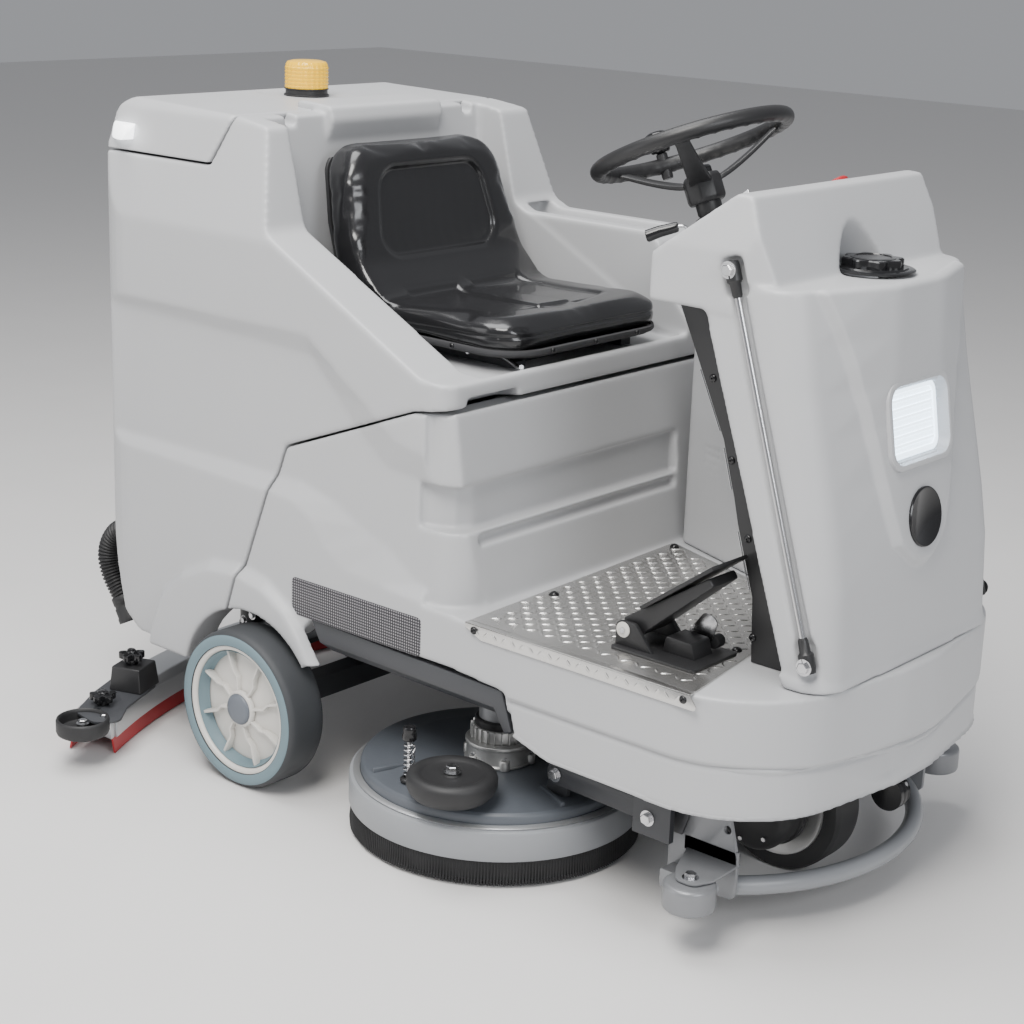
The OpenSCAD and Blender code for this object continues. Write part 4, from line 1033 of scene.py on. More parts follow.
pitch = 28.0
for i in range(-2, 22):
    for j in range(-18, 12):
        x_, y_ = 511 + pitch * i * 0.7071, pitch * j * 0.7071
        if inside_distance(np.array([x_]), np.array([y_]), PLATE)[0] > -11:
            continue
        if 744 < x_ < 926 and -338 < y_ < -198:
            continue
        a = math.radians(45 if (i + j) % 2 else -45)
        al, ac = Vector((math.cos(a), math.sin(a), 0)), Vector((-math.sin(a), math.cos(a), 0))
        lozenge(P(x_, y_, 440.0), al, ac, UP, 12.2, 3.6, 1.7)
for i in range(24):
    x_ = 532 + 19.6 * i
    if x_ > 955:
        break
    a = math.radians(45 if i % 2 else -45)
    lozenge(P(x_, -405.4, 427), Vector((math.cos(a), 0, math.sin(a))),
            Vector((-math.sin(a), 0, math.cos(a))), Vector((0, -1, 0)), 8.6, 3.0, 1.0)
# the lozenges are open below, where they sit on the sheet, and face outwards
finish(make("footplate_lozenges", loz_v, loz_f), "chassis", "chequer", 60)
for k, p in enumerate(((520, -190), (500, 190), (905, -190), (870, 60))):
    dome(P(*p, 440.0), UP, 8.5, 5.0, f"deck_bolt_{k}", "chassis", "black_gloss")
for k, x_ in enumerate((525, 955)):
    dome(P(x_, -405.4, 429), (0, -1, 0), 6.5, 4.0, f"flange_screw_{k}", "chassis", "black_gloss")
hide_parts("deck_bolts")

# ---------------------------------------------------------------- pedal
base = prism(outline([(752, -330, 6), (918, -330, 6), (918, -205, 6), (752, -205, 6)]), "z", 440.4, 444.4,
             "pedal_plate")
finish(base, "chassis", "black_plastic", 30, 0.8, node="pedal_base")
for k, y_ in enumerate((-312, -224)):
    cheek = prism(outline([(752, 444), (826, 444), (790, 486, 12), (752, 486, 12)]), "y", y_ - 4, y_ + 4,
                  f"pedal_cheek_{k}")
    finish(cheek, "chassis", "black_plastic", 30, 1.0)
sensor = prism(outline([(828, 444.2), (892, 444.2), (884, 470, 5), (834, 472, 5)]), "y", -290, -240,
               "pedal_sensor")
finish(sensor, "chassis", "black_plastic", 30, 1.5)
finish(cyl(768, 472, 5, -321, -215, 24, "pedal_pin"), "chassis", "bright_steel", 40)
finish(cyl(768, 472, 13, -318.5, -316.2, 40, "pivot_disc_washer"), "chassis", "white_hub", 40, 0.4)
arm_ = prism(outline([(758, 462, 8), (790, 462, 8), (928, 580, 4), (919, 592, 4), (756, 486, 8)]), "y",
             -303, -233, "pedal_body")
finish(arm_, "accelerator_pedal", "black_plastic", 30, 3.0, node="accelerator_pedal", segments=3)
d = Vector((136, 0, 100)).normalized()
nrm = Vector((-100, 0, 136)).normalized()
pad = prism([(800, 513), (934, 611.5), (931, 617), (797, 518.5)], "y", -316, -220, "pedal_pad")
csg(pad, ("-", prism([(822, 500), (860, 500), (905, 600), (900, 620), (820, 560)], "y", -260, -258)))
finish(pad, "accelerator_pedal", "black_plastic", 30, 1.6)
for k in range(13):
    c0 = P(803 + 10 * k, -268, 520 + 7.35 * k)
    rib = prism([(-2.2 - AXLE, -46), (2.2 - AXLE, -46), (2.2 - AXLE, 46), (-2.2 - AXLE, 46)], "z", 0, 2.6,
                f"pedal_rib_{k}")
    rib.data.transform(Matrix.Translation(c0) @ Matrix(((d.x, 0, nrm.x, 0), (0, 1, 0, 0),
                                                        (d.z, 0, nrm.z, 0), (0, 0, 0, 1))))
    finish(rib, "accelerator_pedal", "black_rubber", 30, 0.8)
cam_plate = prism(outline([(842, 446, 6), (878, 446, 6), (896, 500, 14), (866, 506, 10), (838, 470, 6)]),
                  "y", -232.2, -229.6, "pedal_cam")
finish(cam_plate, "chassis", "bright_steel", 30, 0.6)
finish(cyl(884, 458, 11, -229, -209, 32, "pedal_stop_roller"), "chassis", "black_rubber", 40, 1.0)

# ---------------------------------------------------------------- seat
def cloth_puff(o, pressure=4.0, cap=7.0, voxel=5.5, mass=0.3):
    """Swells a pad with the cloth solver, caps how far a point may move and applies the result."""
    m = o.modifiers.new("remesh", "REMESH")
    m.mode = "VOXEL"
    m.voxel_size = voxel * 1.0 / 1000
    bake(o)
    start = coords_of(o).copy()
    c = o.modifiers.new("cloth", "CLOTH")
    c.settings.use_pressure = True
    c.settings.uniform_pressure_force = pressure
    c.settings.mass = mass
    c.settings.effector_weights.gravity = 0
    c.settings.tension_stiffness = 12
    c.settings.bending_stiffness = 4
    c.collision_settings.use_collision = False
    for f in range(1, 21):
        SCENE.frame_set(f)
    bake(o)
    SCENE.frame_set(1)
    co = coords_of(o)
    step = co - start
    far = np.linalg.norm(step, axis=1, keepdims=True)
    co = start + step * np.minimum(1, (cap / 1000) / np.maximum(far, 1e-9))
    set_coords(o, co)
    relax(o, 3)
    s = o.modifiers.new("subdivision", "SUBSURF")
    s.levels = 1
    bake(o)
    return o


# cushion and back are one moulding: a thick roll all round, an inset back panel and inset cushion wedges
SEAT_SIDE = outline([(20, 855), (423, 855, 10), (444, 873, 14), (414, 903, 20), (126, 893, 60),
                     (64, 958, 36), (14, 1156, 24),
                     (-38, 1170, 14), (-54, 1148, 10), (18, 904, 10)])
seat = prism(SEAT_SIDE, "y", -232, 232, "seat_cushion_skin")
csg(seat, ("&", prism(outline(both([(-90, -232, 30), (440, -232, 84)])), "z", 800, 1200)))
# the back narrows towards its top, seen from the front
csg(seat, ("&", prism(outline([(-234, 840), (-234, 980, 120), (-196, 1178, 104), (196, 1178, 104),
                               (234, 980, 120), (234, 840)]), "x", -120, 460)))
m_ = seat.modifiers.new("remesh", "REMESH")
m_.mode = "VOXEL"
m_.voxel_size = 6 / 1000
bake(seat)
relax(seat, 8)
cloth_puff(seat, 4.0, 6.5, 5.5)
co = coords_of(seat)
no = normals_of(seat)
x, y, z = co[:, 0] * 1000 - AXLE, co[:, 1] * 1000, co[:, 2] * 1000
# the front faces of back and cushion
face_back = (no[:, 0] > 0.35) & (x < 130) & (z > 930)
face_top = (no[:, 2] > 0.45) & (x > 70) & (z < 960)
# inset back panel: 1 inside, 0 outside
edge = -inside_distance(y, z, outline([(-164, 964, 44), (-136, 1124, 50), (136, 1124, 50), (164, 964, 44)]))
panel_in = smoothstep(edge / 14 + 0.5)
sink = -9.5 * panel_in
pipe = 3.2 * np.exp(-((edge - 2) / 4.2) ** 2)
# slight vertical grain wrinkles inside the panel
wr = 0.12 * np.sin(y * 0.21 + 1.3 * np.sin(z * 0.045)) * panel_in
back_move = np.where(face_back, sink + pipe + wr, 0)
# cushion: two inset wedges either side of a raised middle, a front roll with a dip in its middle
wedge_w = np.interp(x, (110, 180, 330, 372), (150, 168, 150, 120))
dw_side = wedge_w - np.abs(y)
dw_mid = np.abs(y) - np.interp(x, (110, 372), (16, 44))
dw_rear, dw_front = x - 118, 358 - x - 0.0009 * y * y
wd = np.minimum(np.minimum(dw_side, dw_mid), np.minimum(dw_rear, dw_front))
top_move = np.where(face_top, -5.5 * smoothstep(wd / 18 + 0.5) + 1.8 * np.exp(-((wd - 1) / 4.4) ** 2), 0)
dip = np.where((x > 340) & (no[:, 2] > 0.2), -4.5 * np.exp(-(y / 70) ** 2), 0)
# creases where the back meets the cushion
crease = np.zeros(len(co))
for k in (-1, 1):
    for j in range(3):
        a = np.array([-8 + 26 * j, 940 - 4 * j])
        b_ = np.array([96 + 20 * j, 918 - 12 * j])
        dd = b_ - a
        px, pz = x - a[0], z - a[1]
        t = np.clip((px * dd[0] + pz * dd[1]) / (dd @ dd), 0, 1)
        dist_ = np.hypot(px - t * dd[0], pz - t * dd[1])
        crease += np.where(k * y > 178, -4.0 * np.exp(-(dist_ / 4.5) ** 2) * smoothstep((k * y - 178) / 26),
                           0)
lump = 0.9 * np.sin(x * 0.031 + 0.7) * np.sin(y * 0.027 + 0.4) * np.sin(z * 0.023)
seam = -2.0 * np.exp(-((z - (872 + 0.03 * (x - 200))) / 2.6) ** 2) * (np.abs(no[:, 2]) < 0.6) * (x > 30)
co += no * ((back_move + top_move + dip + crease + lump + seam) / 1000)[:, None]
set_coords(seat, co)
finish(seat, "seat", "black_vinyl", 180, node="seat_cushion")

# fuzzy trim strip round the cushion's lower edge, with dome screws
pan_pts = outline(both([(20, -222, 44), (432, -222, 80)]), 10)
strip_v, strip_f = [], []
closed = [Vector(p) for p in pan_pts]
cnt = len(closed)
for i, p in enumerate(closed):
    t = (closed[(i + 1) % cnt] - closed[i - 1]).normalized()
    nx, ny = (t.y, -t.x)
    for off, h in ((0, 845), (5, 845.4), (7, 849), (5.5, 854.5), (0, 855.5)):
        strip_v.append(P(p.x + nx * off, p.y + ny * off, h))
for i in range(cnt):
    for k in range(5):
        j, l = (i + 1) % cnt, (k + 1) % 5
        strip_f.append((i * 5 + k, i * 5 + l, j * 5 + l, j * 5 + k))
finish(make("seat_trim", strip_v, strip_f), "seat", "trim", 60)
pan = prism(outline(both([(24, -217, 44), (430, -217, 78)]), 10), "z", 841, 851, "seat_pan_tray",
            outline(both([(22, -220, 44), (432, -220, 80)]), 10))
shell = prism([(-8, 841), (60, 841), (60, 851), (14, 851), (8, 905), (-59, 1135), (-65, 1133), (0, 903),
               (2, 860)], "y", -204, 204)
csg(shell, ("&", prism(outline([(-206, 835), (-206, 1010, 60), (-184, 1140, 40), (184, 1140, 40),
                                (206, 1010, 60), (206, 835)]), "x", -90, 80)))
finish(join("seat_pan_tray", pan, shell), "seat", "black_plastic", 30, 1.6, node="seat_pan")
for s in (-1, 1):
    finish(block((90, s * 150 - 9, 827.6), (370, s * 150 + 9, 841.2),
                 f"seat_runner_{'r' if s < 0 else 'l'}"), "seat", "dark_frame", 30, 1.0)
    finish(cyl(300, 834, 4.2, s * 176 - 12, s * 176 + 12, 20, f"seat_bolt_{'r' if s < 0 else 'l'}"), "seat",
           "bright_steel", 40)
lever_ = sweep(smooth_path([P(330, -158, 834), P(372, -170, 832), P(410, -182, 826), P(432, -196, 830)], 6),
               4.2, 14, "seat_slide_lever")
finish(lever_, "seat", "bright_steel", 60)
for k, (x_, y_) in enumerate(((60, -227.5), (170, -227.5), (300, -227.5))):
    dome(P(x_, y_ - 0.8, 850), (0, -1, 0), 5.0, 3.0, f"trim_screw_side_{k}", "seat", "black_gloss")
for k, y_ in enumerate((-120, 0, 120)):
    dome(P(438.6, y_, 850), (1, 0, 0), 5.0, 3.0, f"trim_screw_front_{k}", "seat", "black_gloss")

# ---------------------------------------------------------------- rear wheels
for s, side in SIDES:
    body_ = "rear_wheel_" + side
    c = P(0, s * 465, 150)
    ax = (0, -s, 0)                      # distances below run inwards from the outer face
    tyre = lathe([(122.1, 1), (139, 0), (144, 1.5), (146.5, 5), (148.6, 8), (149.8, 14), (150, 26),
                  (150, 60), (149.8, 72), (148, 79), (144, 85), (122.1, 86)],
                 c, ax, 144, "rear_tyre_" + side + "_tread")
    finish(tyre, body_, "tyre_tread", 40, node="rear_tyre_" + side)
    wallring = lathe([(123, 0.9), (128, -0.6), (136, -0.9), (142, 0.6), (145.4, 4), (144, 4.5), (123, 3)],
                     c, ax, 144, "rear_sidewall_" + side)
    finish(wallring, body_, "grey_tyre", 50)
    hub_ = lathe([(12.05, 18), (24, 18), (32, 20), (60, 26), (104, 31), (110, 27), (113, 8), (115, 4),
                  (117, 3), (121.8, 3), (122, 5),
                  (122, 82), (112, 82), (110, 46), (104, 42), (32, 40), (30, 80), (12.05, 80)], c, ax, 128,
                 "rear_hub_" + side + "_disc")
    finish(hub_, body_, "white_hub", 40, node="rear_hub_" + side)
    finish(lathe([(103, 30), (109, 26), (111.6, 9), (110.6, 8.4), (107.4, 25), (102, 29)], c, ax, 128,
                 "hub_shadow_" + side), body_, "grey_tyre", 50)
    ribs_ = []
    for k in range(8):
        a = math.radians(45 * k + 12)
        a2 = a + math.radians(7.5)
        pth = [(30, a, 12, 21), (58, a, 15, 26), (72, a2, 16, 27.4), (111.5, a2, 15, 33)]
        verts = []
        for i, (r, t, h0, h1) in enumerate(pth):
            dirv = Vector((math.cos(t), 0, math.sin(t)))
            tan = Vector((-math.sin(t), 0, math.cos(t)))
            w = 2.6 if i < 3 else 3.4
            for w_, h in ((-w * 1.2, h1), (-w * 0.8, h0), (w * 0.8, h0), (w * 1.2, h1)):
                verts.append(c + dirv * (r / 1000) + tan * (w_ / 1000) + Vector(ax) * (h / 1000))
        ribs_.append(make("rib", verts, side_faces(4, 4) + end_faces(4, 4)))
    finish(join("hub_ribs_" + side, *ribs_), body_, "white_hub", 30, 0.7)
    finish(lathe([(0, 19), (27, 19), (29, 16), (29, 8), (26, 4.6), (18, 3), (0, 2.6)], c, ax, 64,
                 "hub_cap_" + side), body_, "cap_grey", 50)
    finish(lathe([(29.2, 17), (35, 18), (35, 13), (33, 10.4), (30.4, 9.6), (29.2, 10)], c, ax, 64,
                 "hub_cap_ring_" + side), body_, "white_hub", 50)
    for k, a in enumerate((112, 124)):
        t = math.radians(a)
        hex_bolt(P(-15 + 150 * math.cos(t) + (0 if k else -4), s * 352.4, 150 + 150 * math.sin(t)),
                 (0, s, 0), 11, 5, name=f"arch_bolt_{side}_{k}")

# ---------------------------------------------------------------- drive wheel and its motor
tc = P(905, 0, 125)
tread = lathe([(96.1, -37), (112, -38), (121, -36), (124.5, -31), (125, -24), (125, 24), (124.5, 31),
               (121, 36), (112, 38), (96.1, 37)],
              tc, LEFT, 128, "drive_tyre_tread")
finish(tread, "drive_wheel", "black_rubber", 40, node="drive_tyre")
rimd = lathe([(0, -40), (84, -40), (88, -42), (95, -42), (95.8, -38), (95.8, 36), (90, 38), (60, 30),
              (0, 30)], tc, LEFT, 96, "drive_rim")
finish(rimd, "drive_wheel", "cast_alloy", 40, node="drive_hub")
motor = lathe([(0, -118), (52, -118), (60, -114), (66, -106), (68, -98), (68, -60), (72, -58), (72, -46),
               (66, -40.5), (0, -40.5)],
              tc, LEFT, 64, "drive_motor")
finish(motor, "drive_wheel", "black_plastic", 40)
finish(cyl(905, 125, 13.9, 29, 60, 40, "drive_stub"), "drive_wheel", "bright_steel", 40)
for k in range(6):
    t = math.radians(60 * k + 15)
    hex_bolt(tc + Vector((math.cos(t) * 0.048, -0.1176, math.sin(t) * 0.048)), (0, -1, 0), 8, 5, False,
             f"motor_bolt_{k}", "drive_wheel")

# ---------------------------------------------------------------- brush deck
BRUSH_X, BRUSH_Y = 447, 243          # the brushes' spindles
TUFT_R = 256.8                       # where the skirt's bristles stand
for s, side in SIDES:
    brush_at = P(BRUSH_X, s * BRUSH_Y, 0)
    dome_prof = [(237, 98), (242, 98), (243, 101), (243, 118), (241, 124), (236, 128), (196, 131),
                 (188, 133), (180, 134), (96, 134), (90, 133.4), (18.2, 133.4), (18.2, 128), (90, 128),
                 (180, 128), (232, 124), (237, 116)]
    d_ = lathe(dome_prof, brush_at, UP, 128, "brush_deck_dome_" + side)
    csg(d_, ("-", block((0, -300, 0), (900, -s * 0.001, 300)) if s > 0
             else block((0, 0.001, 0), (900, 300, 300))))
    finish(d_, "brush_deck", "deck_grey", 35, 0.6)
    # raised pads and stiffening ribs on the deck's top
    for k, (a0, r0, r1) in enumerate(((-62, 150, 232), (-118, 150, 232), (-20, 160, 232))):
        t = math.radians(a0 * -s if s > 0 else a0)
        dv, tv = Vector((math.cos(t), math.sin(t), 0)), Vector((-math.sin(t), math.cos(t), 0))
        vs = []
        for r, zt in ((r0, 139), (r1, 136)):
            for w_, zz in ((-5, 126), (5, 126), (3.6, zt), (-3.6, zt)):
                vs.append(P(BRUSH_X, s * BRUSH_Y, zz) + dv * (r / 1000) + tv * (w_ / 1000))
        finish(make(f"deck_rib_{side}_{k}", vs, end_faces(2, 4) + side_faces(2, 4)), "brush_deck",
               "deck_grey", 30, 1.2)
    shade_strip_and_skirt = lathe([(244, 50), (262, 50), (263, 52), (263, 98), (261.6, 102), (258, 104), (244, 104)],
                  brush_at, UP, 144, "skirt_ring_" + side)
    lip = lathe([(244, 104), (254, 104), (256, 107), (252, 109.4), (244, 109.4)], brush_at, UP, 144)
    low = lathe([(244, 12), (257, 12), (258, 14), (258, 50.2), (244, 50.2)], brush_at, UP, 144,
                "skirt_low_" + side)
    for piece in (shade_strip_and_skirt, lip, low):
        csg(piece, ("-", block((0, -600, -10), (900, 0.001, 300)) if s > 0
                    else block((0, -0.001, -10), (900, 600, 300))))
    finish(shade_strip_and_skirt, "brush_deck", "skirt_grey", 35, 0.8)
    finish(lip, "brush_deck", "squeegee_alloy", 50)
    finish(low, "brush_deck", "bristle", 35)
    # bristle tufts that hang below the ring
    tv_, tf_ = [], []
    n_t = 300
    for k in range(n_t):
        t = 2 * math.pi * k / n_t
        if s * (s * BRUSH_Y + TUFT_R * math.sin(t)) < 3:
            continue
        wob = math.sin(k * 12.9898) * 0.6
        for q, (h, r, out) in enumerate(((50, 1.7, 0.4), (24, 1.9, 1.4 + wob), (7 + wob, 2.3, 2.6 + wob))):
            for m in range(5):
                u = 2 * math.pi * m / 5
                tv_.append(P(BRUSH_X + (TUFT_R + out) * math.cos(t) + r * math.cos(u),
                             s * BRUSH_Y + (TUFT_R + out) * math.sin(t) + r * math.sin(u), h))
        b0 = len(tv_) - 15
        for q in range(2):
            for m in range(5):
                tf_.append((b0 + q * 5 + m, b0 + q * 5 + (m + 1) % 5, b0 + (q + 1) * 5 + (m + 1) % 5,
                            b0 + (q + 1) * 5 + m))
        tf_ += [tuple(b0 + m for m in range(5)), tuple(b0 + 10 + m for m in range(5))]
    finish(make("skirt_bristles_" + side, tv_, tf_), "brush_deck", "bristle", 50)

    # brush: disc and bristle ring
    bd = lathe([(0, 60), (202, 60), (202, 90), (60, 92), (17.9, 94), (17.9, 133), (0, 133)], brush_at, UP,
               96, "brush_block_" + side)
    finish(bd, "brush_" + side, "black_plastic", 40, node="brush_" + side)
    bb = lathe([(106, 6), (214, 6), (209, 60.1), (106, 60.1)], brush_at, UP, 96, "brush_bristle_" + side)
    finish(bb, "brush_" + side, "bristle", 40)

    # gear motor: cast gearbox, finned ring, dark band, motor
    gc = P(459, s * 251, 0)
    low_ = lathe([(0, 134.4), (62, 134.4), (62, 138), (59, 140), (59, 166), (61, 168), (61, 174), (56, 176),
                  (0, 176)], gc, UP, 96, "gearbox_low_" + side)
    finish(low_, "brush_deck", "cast_alloy", 40, 0.8, node="gear_motors" if s < 0 else ())
    for k in range(6):
        t = math.radians(60 * k + 20)
        lug = lathe([(0, 134.4), (10, 134.4), (10, 150), (8.6, 152), (0, 152)],
                    gc + Vector((math.cos(t), math.sin(t), 0)) * 0.0575, UP, 20, f"gear_lug_{side}_{k}")
        finish(lug, "brush_deck", "cast_alloy", 40)
        hex_bolt(gc + Vector((math.cos(t), math.sin(t), 0)) * 0.0575 + Vector((0, 0, 0.152)), UP, 8, 5,
                 False, f"gear_bolt_{side}_{k}", "brush_deck")
    fins = [lathe([(0, 176), (46, 176), (48, 178), (48, 198), (46, 200), (0, 200)], gc, UP, 64)]
    for k in range(24):
        t = 2 * math.pi * k / 24
        dv, tv = Vector((math.cos(t), math.sin(t), 0)), Vector((-math.sin(t), math.cos(t), 0))
        vs = [gc + dv * (r / 1000) + tv * (w_ / 1000) + Vector((0, 0, h / 1000)) for h in (177, 199)
              for r, w_ in ((44, -1.4), (53, -1.1), (53, 1.1), (44, 1.4))]
        fins.append(make("fin", vs, end_faces(2, 4) + side_faces(2, 4)))
    finish(join("gearbox_fins_" + side, *fins), "brush_deck", "cast_alloy", 35, 0.5)
    finish(lathe([(0, 200), (44, 200), (45, 202), (45, 212), (43, 214), (0, 214)], gc, UP, 64,
                 "motor_band_" + side), "brush_deck", "black_plastic", 40)
    finish(lathe([(0, 214), (38, 214), (38, 270), (35, 276), (20, 278), (0, 278)], gc, UP, 64,
                 "brush_motor_" + side), "brush_deck", "grey_steel", 40)

    # side roller with its bolt
    rc = P(522, s * 446, 0)
    rl = lathe([(6.1, 140.4), (56, 140.4), (66, 145), (74, 154), (77.6, 164), (78, 176), (76, 182),
                (70, 186), (60, 186.4), (54, 183), (50, 181), (16, 181), (14, 184), (6.1, 184)],
               rc, UP, 96, "deck_roller_" + side + "_body")
    finish(rl, "deck_roller_" + side, "black_rubber", 50, node="deck_roller_" + side)
    finish(lathe([(0, 134), (6, 134), (6, 186), (0, 186)], rc, UP, 32, "roller_spindle_" + side),
           "brush_deck", "bright_steel", 40)
    finish(lathe([(0, 133.9), (24, 133.9), (24, 139.6), (0, 139.6)], rc, UP, 48, "roller_boss_" + side),
           "brush_deck", "deck_grey", 40, 0.6)
    hex_bolt(rc + Vector((0, 0, 0.1862)), UP, 19, 11, True, "roller_bolt_" + side, "brush_deck")

    # spring pin: knob, coil spring, collar, small clip
    pc = P(415, s * 438, 0)
    finish(lathe([(0, 114), (7, 110), (7, 136), (4, 138), (4, 210), (0, 210)], pc, UP, 32,
                 "deck_pin_" + side + "_rod"), "deck_pin_" + side, "bright_steel", 40,
           node="deck_pin_" + side)
    finish(lathe([(0, 208), (10, 208), (13, 212), (13, 218), (11, 224), (12, 230), (10, 234), (0, 235)], pc,
                 UP, 40, "pin_knob_" + side), "deck_pin_" + side, "black_gloss", 50)
    coil = [pc + Vector((9.0 * math.cos(2 * math.pi * 7 * t) / 1000,
                         9.0 * math.sin(2 * math.pi * 7 * t) / 1000, (141 + 62 * t) / 1000))
            for t in np.linspace(0, 1, 150)]
    finish(sweep(coil, 1.35, 8, "pin_spring_" + side), "deck_pin_" + side, "bright_steel", 60)
    finish(lathe([(7.6, 134.2), (15, 134.2), (15, 138), (12, 140.4), (7.6, 140.4)], pc, UP, 32,
                 "pin_seat_" + side), "brush_deck", "black_plastic", 40)
    clip = sweep([pc + Vector(v) for v in ((0.005, 0, 0.2035), (0.016, 0.002 * s, 0.2035),
                                           (0.022, 0.010 * s, 0.200), (0.020, 0.018 * s, 0.192),
                                           (0.012, 0.016 * s, 0.190))], 1.2, 8, "pin_clip_" + side)
    finish(clip, "deck_pin_" + side, "bright_steel", 60)

    # deck pivot plates, with the pins and bolts for the lift arms
    pl = prism(outline([(606, 134), (654, 134), (656, 170, 6), (646, 192, 10), (632, 192, 10),
                        (618, 170, 8)]), "y", s * 290, s * 300, "deck_pivot_plate_" + side)
    finish(pl, "brush_deck", "dark_frame", 30, 1.0)
    finish(cyl(640, 178, 5.9, s * 300, s * 322, 24, "deck_pivot_pin_" + side), "brush_deck", "bright_steel",
           40)
    hex_bolt(P(640, s * 317, 178), (0, s, 0), 17, 9, True, "arm_bolt_rear_" + side, "brush_deck")
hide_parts("brush_deck")
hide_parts("splash_skirts")

# ---------------------------------------------------------------- lift arms
for s, side in SIDES:
    ar = prism(outline([(868, 190, 14), (868, 154, 14), (760, 156, 30), (622, 160, 14), (622, 196, 14),
                        (750, 192, 30)]), "y", s * 306, s * 316, "lift_arm_" + side)
    csg(ar, ("-", cyl(850, 172, 6.06, s * 300, s * 320, 32)),
        ("-", cyl(640, 178, 6.06, s * 300, s * 320, 32)))
    finish(ar, "lift_arms", "dark_frame", 30, 1.4)
    finish(cyl(850, 172, 5.9, s * 300, s * 333, 24, "arm_front_pin_" + side), "chassis", "bright_steel", 40)
    hex_bolt(P(850, s * 334.2, 172), (0, s, 0), 17, 9, True, "arm_bolt_front_" + side, "chassis")
finish(cyl(730, 176, 11, -306.4, 306.4, 32, "lift_cross_tube"), "lift_arms", "dark_frame", 40)
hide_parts("lift_arms")

# ---------------------------------------------------------------- front chassis plate, bumper, rollers, horn
for s, side in SIDES:
    guard_at = P(978, s * 388, 0)
    plate_ = prism(outline([(872, 66, 8), (1006, 66, 14), (1006, 140, 6), (990, 200, 10), (1006, 262, 6),
                            (1006, 327.6), (872, 327.6)]), "y", s * 294, s * 302, "bumper_plate_" + side)
    csg(plate_, ("-", cyl(985, 185, 7, s * 285, s * 310, 32)))
    finish(plate_, "chassis", "grey_steel", 30, 1.2)
    # dark gusset with its bolt, bracket over the guard roller
    gus = prism([(884, 327.6), (960, 327.6), (900, 150), (884, 150)], "y", s * 302.2, s * 307,
                "bumper_gusset_" + side)
    finish(gus, "chassis", "dark_frame", 30, 1.0)
    hex_bolt(P(902, s * 307.2, 290), (0, s, 0), 15, 8, True, "gusset_bolt_" + side)
    br = prism(outline([(905, s * 293), (1008, s * 293), (1010, s * 372, 20), (996, s * 406, 18),
                        (962, s * 406, 18), (938, s * 372, 20)]), "z", 125.4, 130, "roller_bracket_" + side)
    finish(br, "chassis", "grey_steel", 30, 1.0)
    lipb = prism([(903, s * 302), (1008, s * 302), (1008, s * 297), (903, s * 297)], "z", 125.4, 152,
                 "roller_bracket_lip_" + side)
    finish(lipb, "chassis", "grey_steel", 30, 1.0)
    rr2 = lathe([(7.1, 78.4), (38, 78.4), (42, 81), (43, 85), (43, 116), (42, 120.6), (38, 123.6),
                 (7.1, 123.6)], guard_at, UP, 96, "guard_roller_" + side)
    finish(rr2, "bumper_roller_" + side, "grey_steel", 45, node="bumper_roller_" + side)
    finish(lathe([(0, 71), (7, 71), (7, 135), (0, 135)], guard_at, UP, 32, "guard_spindle_" + side),
           "chassis", "bright_steel", 40)
    hex_bolt(P(978, s * 388, 130), UP, 17, 9, True, "guard_bolt_" + side)
    hex_bolt(P(978, s * 388, 77.8), (0, 0, -1), 17, 7, False, "guard_nut_" + side)
    # end bracket of the hoop
    hb = prism(outline([(880, 62, 4), (930, 62, 4), (930, 94, 4), (880, 94, 4)]), "y", s * 302.2, s * 334,
               "hoop_end_" + side)
    finish(hb, "chassis", "grey_steel", 30, 1.0)
hoop = [P(775 + 325 * math.cos(math.radians(a)), 358 * math.sin(math.radians(a)), 78)
        for a in np.linspace(-66, 66, 90)]
finish(sweep(hoop, 16, 28, "bumper_hoop"), "chassis", "skirt_grey", 60, node="front_bumper")
finish(cyl(1072, 165, 30, 43, 52, 48, "horn_back"), "chassis", "black_gloss", 40)
horn_ = lathe([(0, -9), (26, -9), (29, -6), (30, 0), (30, 3), (24, 5), (22, 9), (26, 12), (28, 16),
               (24, 19), (8, 20), (6, 24), (0, 24)], P(1072, 60, 165), LEFT, 64, "horn_discs")
finish(horn_, "chassis", "black_gloss", 50, node="horn")
finish(block((1064, 52, 190), (1080, 56, 327.8), "horn_strap"), "chassis", "dark_frame", 30, 0.8)
hex_bolt(P(1072, 57, 200), LEFT, 11, 5, True, "horn_bolt")

# ---------------------------------------------------------------- squeegee
def squeeze(y):
    return -462 + y * y / 2000


def curve_solid(section, half, name, n=72):
    """Sweeps an (across, height) section along the squeegee's curve."""
    vs = []
    for i in range(n + 1):
        yy = -half + 2 * half * i / n
        slope = yy / 1000
        nx, ny = 1 / math.hypot(1, slope), -slope / math.hypot(1, slope)
        for a, h in section:
            vs.append(P(squeeze(yy) + a * nx, yy + a * ny, h))
    return make(name, vs, side_faces(n + 1, len(section)) + end_faces(n + 1, len(section)))


